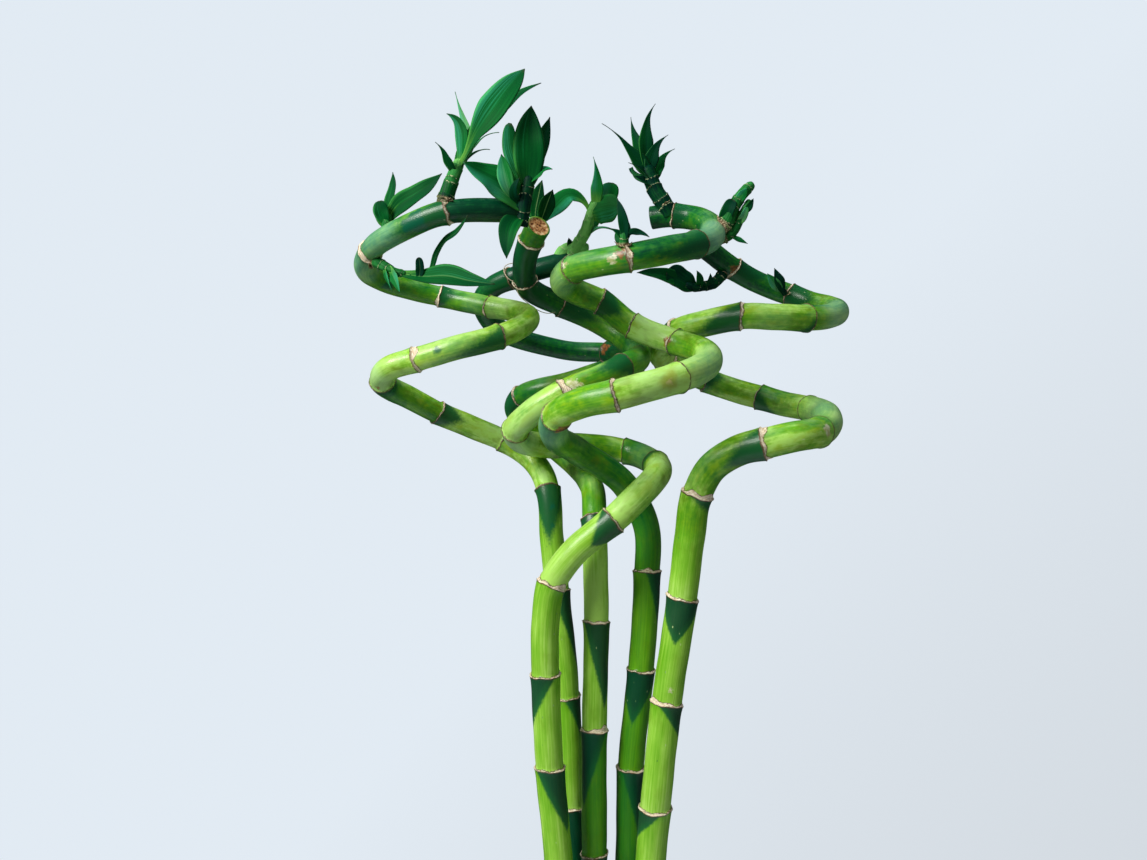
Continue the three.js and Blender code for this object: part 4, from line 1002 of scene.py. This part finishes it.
    def build(self, material):
        """The skin, closed by a rough cut end."""
        rings = [self.places[:, None] + self.radial * self.radius[..., None]
                 + self.headings[:, None] * self.shift[..., None]]
        parts = [self.values]
        for share, lift, cork in CUT_PROFILE:
            lumps = lift + CORK_ROUGHNESS * cork * self.rng.uniform(-1, 1, CANE_SIDES) * min(1, share * 2)
            reach = self.radius[-1] * share
            row = self.places[-1] + self.radial[-1] * reach[:, None] + self.headings[-1] * lumps[:, None]
            rings.append(row[None])
            last = {key: value[-1:] for key, value in self.values.items()}
            last["straight"] = tube(reach, self.theta, self.s[-1] + lumps)[None]
            last["cut"] = np.full((1, CANE_SIDES), cork)
            if cork > 0:
                last.update({key: np.full((1, CANE_SIDES), FAR) for key in ("scar", "seam", "wedge")})
            parts.append(last)
        lofts = Lofts()
        lofts.add(np.concatenate(rings),
                  **{key: np.concatenate([part[key] for part in parts]) for key in self.values})
        if self.name == THREADED_CANE:
            add_thread(lofts)
        lofts.build(f"{self.name}_skin", material, self.name, "cane")


def make_cane(name, spec, seed, material):
    body = Cane(name, spec, seed)
    for index in range(len(body.ring_at)):
        body.add_ring(index)
    for mark in MARKS[name]:
        body.add_mark(*mark)
    body.add_swell()
    body.add_blooms_and_sheen()
    body.add_places()
    body.build(material)
    return body


def add_thread(lofts):
    """Dry fibre that hangs from a ring, coloured as papery scar."""
    line = strand(THREAD)
    places, headings = on_line(line, np.arange(0, line["length"], 0.5))
    rings = places[:, None] + THREAD_RADIUS * spokes(frames(headings), circle(6))
    bare = {key: FAR for key in lofts.values if key in ("wedge", "seam") or key.startswith("mark")}
    lofts.add(rings, straight=rings, tone=0.5, scar=1.0, bloom=0.0, cut=0.0, coil=1.0, upward=0.0, **bare)


def blade_share(u, shape):
    """Half width as a share of the largest, from base, 0, to tip, 1."""
    widest, base, swell, loss, bend, draw = OUTLINES[shape]
    rising = base + (1 - base) * np.sin(np.clip(u / widest, 0, 1) * np.pi / 2) ** swell
    v = np.clip((u - widest) / (1 - widest), 0, 1)
    return np.where(u < widest, rising, (1 - loss * v**bend) ** draw)


def blade_rings(spec, rng, spans=LEAF_SPANS, lanes=LEAF_LANES, thickness=LEAF_THICKNESS):
    """Cross-sections of a thin cupped blade, with the values that its material reads."""
    line = strand(spec["route"])
    u = np.linspace(0, 1, spans) ** 0.92
    places, headings = on_line(line, line["length"] * u)
    side = unit(np.cross(headings, unit(spec["face"])))
    normal = unit(np.cross(side, headings))[:, None]
    half = np.maximum(0.16, spec["width"] / 2 * blade_share(u, spec["shape"]))
    v = np.linspace(-1, 1, lanes)
    fold = 0.26 * (1 + 0.6 * np.exp(-u / 0.1))
    ripple = 0.075 * np.sin(2 * np.pi * 1.6 * u + rng.uniform(0, 6.3)) * np.sin(np.pi * u)
    lift = half[:, None] * (fold[:, None] * np.abs(v) ** 1.35 + ripple[:, None] * v * 2)
    narrow = 1 - 0.12 * np.exp(-u / 0.1)
    middle = (places[:, None] + side[:, None] * (half * narrow)[:, None, None] * v[None, :, None]
              + normal * lift[..., None])
    thick = thickness / 2 * (0.18 + 0.82 * np.sqrt(1 - v**2)) * (1 - 0.5 * u[:, None])
    groove = 0.18 * np.exp(-(v / 0.12) ** 2)
    upper = middle + normal * (thick - groove * (1 - u[:, None]))[..., None]
    lower = middle - normal * thick[..., None]
    rings = np.concatenate([upper, lower[:, -2:0:-1]], axis=1)
    across = np.concatenate([v, v[-2:0:-1]])
    upside = np.concatenate([np.ones(lanes), -np.ones(lanes - 2)])
    upside[[0, lanes - 1]] = 0
    return rings, {"along": u[:, None], "across": across[None, :], "side": upside[None, :]}


def emergence(line, canes):
    """Distance along a stem at which it leaves the skin of its cane."""
    distances = np.linspace(0, line["length"], 60)
    for distance, place in zip(distances, on_line(line, distances)[0]):
        clear = min(np.min(np.linalg.norm(c.places - place, axis=1) - c.plain) for c in canes)
        if clear > 0.2:
            return distance
    return 0.0


def make_stem(lofts, spec, canes, foot_tone, top_tone, scales, rng):
    line = strand(spec["route"])
    start = emergence(line, canes)
    s = np.linspace(0, line["length"], max(12, int(line["length"] / STEM_STEP)))
    places, headings = on_line(line, s)
    theta = circle(STEM_SIDES)
    plain = spec["base"] + (spec["top"] - spec["base"]) * s / line["length"]
    segment = SHEATH_LENGTH * rng.uniform(0.85, 1.2)
    turn = np.pi * np.floor(s / segment)[:, None]
    phase = (s[:, None] + 1.3 * np.cos(theta - turn)) / segment + rng.uniform(0, 1)
    climb = phase - np.floor(phase)
    tip = np.clip((line["length"] - s) / STEM_TIP, 0, 1)
    radius = (plain * (0.3 + 0.7 * np.sqrt(1 - (1 - tip) ** 2)))[:, None] * (0.95 + 0.1 * climb**3)
    rings = places[:, None] + spokes(frames(headings), theta) * radius[..., None]
    papery = blend(0.1, 0.2, foot_tone) if scales else 0.0
    rise = np.clip((s - start) / (line["length"] - start), 0, 1)[:, None]
    shade = foot_tone + (top_tone - foot_tone) * rise + 0.2 * (0.5 - climb)
    lofts.add(rings, straight=tube(radius, theta, s[:, None]), tone=shade, rim=climb,
              paper=papery * blend(start + 1.2, start + 0.2, s)[:, None])
    place, heading = on_line(line, np.array([start]))
    one, two = frames(heading)
    for k in range(scales):
        angle = 2 * np.pi * (k + rng.uniform(-0.2, 0.2)) / scales
        out = one[0] * math.cos(angle) + two[0] * math.sin(angle)
        foot = place[0] + out * spec["base"] * 0.8 - heading[0] * 1.0
        lean = unit(heading[0] * rng.uniform(0.5, 0.9) + out * rng.uniform(0.5, 0.9))
        tip = foot + lean * rng.uniform(*SCALE_SIZES) + out * 0.3
        scale = leaf([foot, (foot + tip) / 2 + out * 0.25, tip], spec["base"] * 1.15, -out, "pointed")
        blade, values = blade_rings(scale, rng, 8, 7, 0.4)
        lofts.add(blade, straight=blade, tone=0.5, rim=values["along"] * 0.7 + 0 * values["across"],
                  paper=0.55 + 0.45 * (k % 2))


def make_shoot(name, stems, leaves, canes, seed, blade_material, sheath_material):
    rng = np.random.default_rng(seed)
    foot_tone, top_tone, scales, rib, tones = SHOOT_LOOKS[name]
    sheaths = Lofts()
    for spec in stems:
        make_stem(sheaths, spec, canes, foot_tone, top_tone, scales, rng)
    sheaths.build(f"{name}_stem", sheath_material, name, "leaf")
    blades = Lofts()
    for spec, tone in zip(leaves, tones, strict=True):
        rings, values = blade_rings(spec, rng)
        blades.add(rings, tone=tone, rib=rib, stem_tone=top_tone, **values)
    blades.build(f"{name}_leaves", blade_material, name, "leaf")


def outer_radius(z):
    return VASE_FOOT_RADIUS + (VASE_RIM_RADIUS - VASE_FOOT_RADIUS) * z / VASE_HEIGHT


def turned_rings(profile, sides):
    """Rings of points about Z for each radius and height of the profile."""
    radius, height = np.array(profile, float).T[:, :, None]
    return tube(radius, circle(sides), height)


def arc(x, z, radius, first, last, count):
    return [(x + radius * math.cos(a), z + radius * math.sin(a)) for a in np.linspace(first, last, count)]


def make_vase(material):
    half_wall = VASE_WALL / 2
    foot = arc(VASE_FOOT_RADIUS - VASE_FOOT_ROUND, VASE_FOOT_ROUND, VASE_FOOT_ROUND, -np.pi / 2, 0, 7)
    walls = [(outer_radius(z), z) for z in np.linspace(4, VASE_HEIGHT - 5, 24)]
    rim = arc(outer_radius(VASE_HEIGHT) - half_wall, VASE_HEIGHT - half_wall, half_wall, 0, np.pi, 17)
    inside = [(outer_radius(z) - VASE_WALL, z) for z in np.linspace(VASE_HEIGHT - 5, VASE_FLOOR, 14)]
    profile = [(0.01, 0), (VASE_FOOT_RADIUS - 8, 0)] + foot + walls + rim + inside + [(0.01, VASE_FLOOR)]
    lofts = Lofts()
    lofts.add(turned_rings(profile, VASE_SIDES))
    lofts.build("vase_glazed", material, "vase", "vase_glaze")


def unit_ball(detail):
    shape = bmesh.new()
    bmesh.ops.create_icosphere(shape, subdivisions=detail, radius=1)
    points = np.array([v.co[:] for v in shape.verts])
    faces = [[v.index for v in f.verts] for f in shape.faces]
    shape.free()
    return points, faces


def scatter_stones(canes, wall, draw):
    """Places and sizes of stones, each clear of posts at the feet of the canes and of the stones before."""
    stones = []
    for level, tries in PEBBLE_LAYERS:
        feet = [c.places[:FOOT_SECTIONS].T for c in canes]
        posts = [[np.interp(level, foot[2], foot[k]) for k in (0, 1)] for foot in feet]
        for _ in range(tries):
            size = draw.uniform(*PEBBLE_SIZES)
            reach = (wall - size * 1.05) * math.sqrt(draw.random())
            angle = draw.uniform(0, 2 * math.pi)
            spot = np.array([reach * math.cos(angle), reach * math.sin(angle), level + draw.uniform(-1, 1)])
            clear_posts = all(math.hypot(spot[0] - x, spot[1] - y) > POST_RADIUS + size * 0.95
                              for x, y in posts)
            clear_stones = all(np.linalg.norm((spot - other) * (1, 1, 1.35)) > (size + wide) * 0.86
                               for other, wide in stones)
            if clear_posts and clear_stones:
                stones.append((spot, size))
    return stones


def make_pebbles(canes, material):
    """Rounded stones thrown in at seeded places, over a plain fill."""
    draw = random.Random(PEBBLE_SEED)
    ball, ball_faces = unit_ball(3)
    floor = VASE_FLOOR + 0.5
    floor_radius = outer_radius(VASE_FLOOR) - VASE_WALL - PEBBLE_WALL_GAP
    wall = outer_radius(BED_TOP) - VASE_WALL - PEBBLE_WALL_GAP
    fill_top = BED_TOP - 10
    fill = turned_rings([(0.01, floor), (floor_radius, floor), (wall - 0.3, fill_top), (0.01, fill_top)], 64)
    bed = Lofts()
    bed.add(fill, local=fill * MM, drawn=0.0)
    for spot, size in scatter_stones(canes, wall, draw):
        scale = np.array([1, draw.uniform(0.72, 0.95), draw.uniform(0.5, 0.7)]) * size
        phase = [draw.uniform(0, 6.3) for _ in range(3)]
        lumps = 1 + 0.05 * np.sin(3 * ball[:, :1] + phase[0]) + 0.05 * np.sin(3 * ball[:, 1:2] + phase[1])
        body = ball * lumps * scale
        spin = np.array(mathutils.Matrix.Rotation(draw.uniform(0, 2 * math.pi), 3, "Z"))
        lean = np.array(mathutils.Matrix.Rotation(draw.uniform(-0.35, 0.35), 3, "X"))
        bed.add_body(body @ (spin @ lean).T + spot, ball_faces, local=body * MM + phase[2],
                     drawn=np.full(len(ball), draw.random()))
    bed.build("pebbles", material, "pebble_bed", "pebbles")


def make_lamp(name, place, target, size, power, color, mirrored):
    data = bpy.data.lights.new(name, "AREA")
    data.shape = "DISK"
    data.size = size
    data.energy = power
    data.color = color
    lamp = show(name, data)
    way = mathutils.Vector(target) - mathutils.Vector(place)
    lamp.location = place
    lamp.rotation_euler = way.to_track_quat("-Z", "Y").to_euler()
    lamp.visible_glossy = mirrored


def make_floor():
    """Pale floor that fades out some way from the vase."""
    mesh = bpy.data.meshes.new("floor")
    corners = [(x * FLOOR_RADIUS, y * FLOOR_RADIUS, 0) for x, y in ((-1, -1), (1, -1), (1, 1), (-1, 1))]
    mesh.from_pydata(corners, [], [(0, 1, 2, 3)])
    look = Look("floor_pale", 0.6, 0.2)
    look.give("Base Color", FLOOR_COLOR)
    place = look.place()
    away = place.into("ShaderNodeVectorMath", "Value", {0: place}, operation="LENGTH")
    clear = make_node(look.tree, "ShaderNodeBsdfTransparent", {}).outputs[0]
    faded = make_node(look.tree, "ShaderNodeMixShader",
                      {0: away.between(*FLOOR_FADE), 1: look.shader.outputs[0], 2: clear})
    feed(look.tree, faded.outputs[0], look.tree.nodes["Material Output"].inputs["Surface"])
    mesh.materials.append(look.material)
    show("floor", mesh)


def make_surround():
    """Pale world, shaded to the lower right where it is seen, and even where it lights."""
    world = bpy.data.worlds.new("surround")
    bpy.context.scene.world = world
    world.use_nodes = True
    tree = world.node_tree
    direction = Signal(tree, make_node(tree, "ShaderNodeTexCoord", {}).outputs["Generated"])
    toward = direction.into("ShaderNodeVectorMath", "Value", {0: direction, 1: SHADED_WAY},
                            operation="DOT_PRODUCT")
    shade = toward.into("ShaderNodeMapRange", 0, {"Value": toward, "From Min": SHADED_SPAN[0],
                                                  "From Max": SHADED_SPAN[1]})
    seen = tree.nodes["Background"]
    feed(tree, shade.mix(SEEN_COLOR, SHADED_COLOR), seen.inputs["Color"])
    path = make_node(tree, "ShaderNodeLightPath", {})
    strength = make_node(tree, "ShaderNodeMapRange", {
        "Value": path.outputs["Is Glossy Ray"], "To Min": LIT_STRENGTH, "To Max": MIRRORED_STRENGTH})
    lit = make_node(tree, "ShaderNodeBackground", {"Color": LIT_COLOR, "Strength": strength.outputs[0]})
    choice = make_node(tree, "ShaderNodeMixShader", {
        0: path.outputs["Is Camera Ray"], 1: lit.outputs[0], 2: seen.outputs[0]})
    feed(tree, choice.outputs[0], tree.nodes["World Output"].inputs["Surface"])


def make_camera():
    data = bpy.data.cameras.new("camera")
    data.sensor_width = SENSOR_WIDTH
    data.lens = FOCAL_PIXELS / PHOTO_WIDTH * SENSOR_WIDTH
    data.clip_start = 0.01
    camera = show("camera", data)
    camera.location = CAMERA_PLACE
    camera.rotation_euler = (math.pi / 2, 0, 0)
    bpy.context.scene.camera = camera


def main():
    make_camera()
    skin = CaneLook().whole()
    blade = leaf_look()
    sheath = sheath_look()
    canes = [make_cane(name, spec, seed, skin) for seed, (name, spec) in enumerate(CANES.items(), 11)]
    for seed, (name, (stems, leaves)) in enumerate(SHOOTS.items(), 31):
        make_shoot(name, stems, leaves, canes, seed, blade, sheath)
    make_pebbles(canes, pebble_look())
    make_vase(glaze_look())
    make_floor()
    make_surround()
    for lamp in LIGHTS:
        make_lamp(*lamp)
    view = bpy.context.scene.view_settings
    view.view_transform = "Standard"
    view.look = "None"


main()
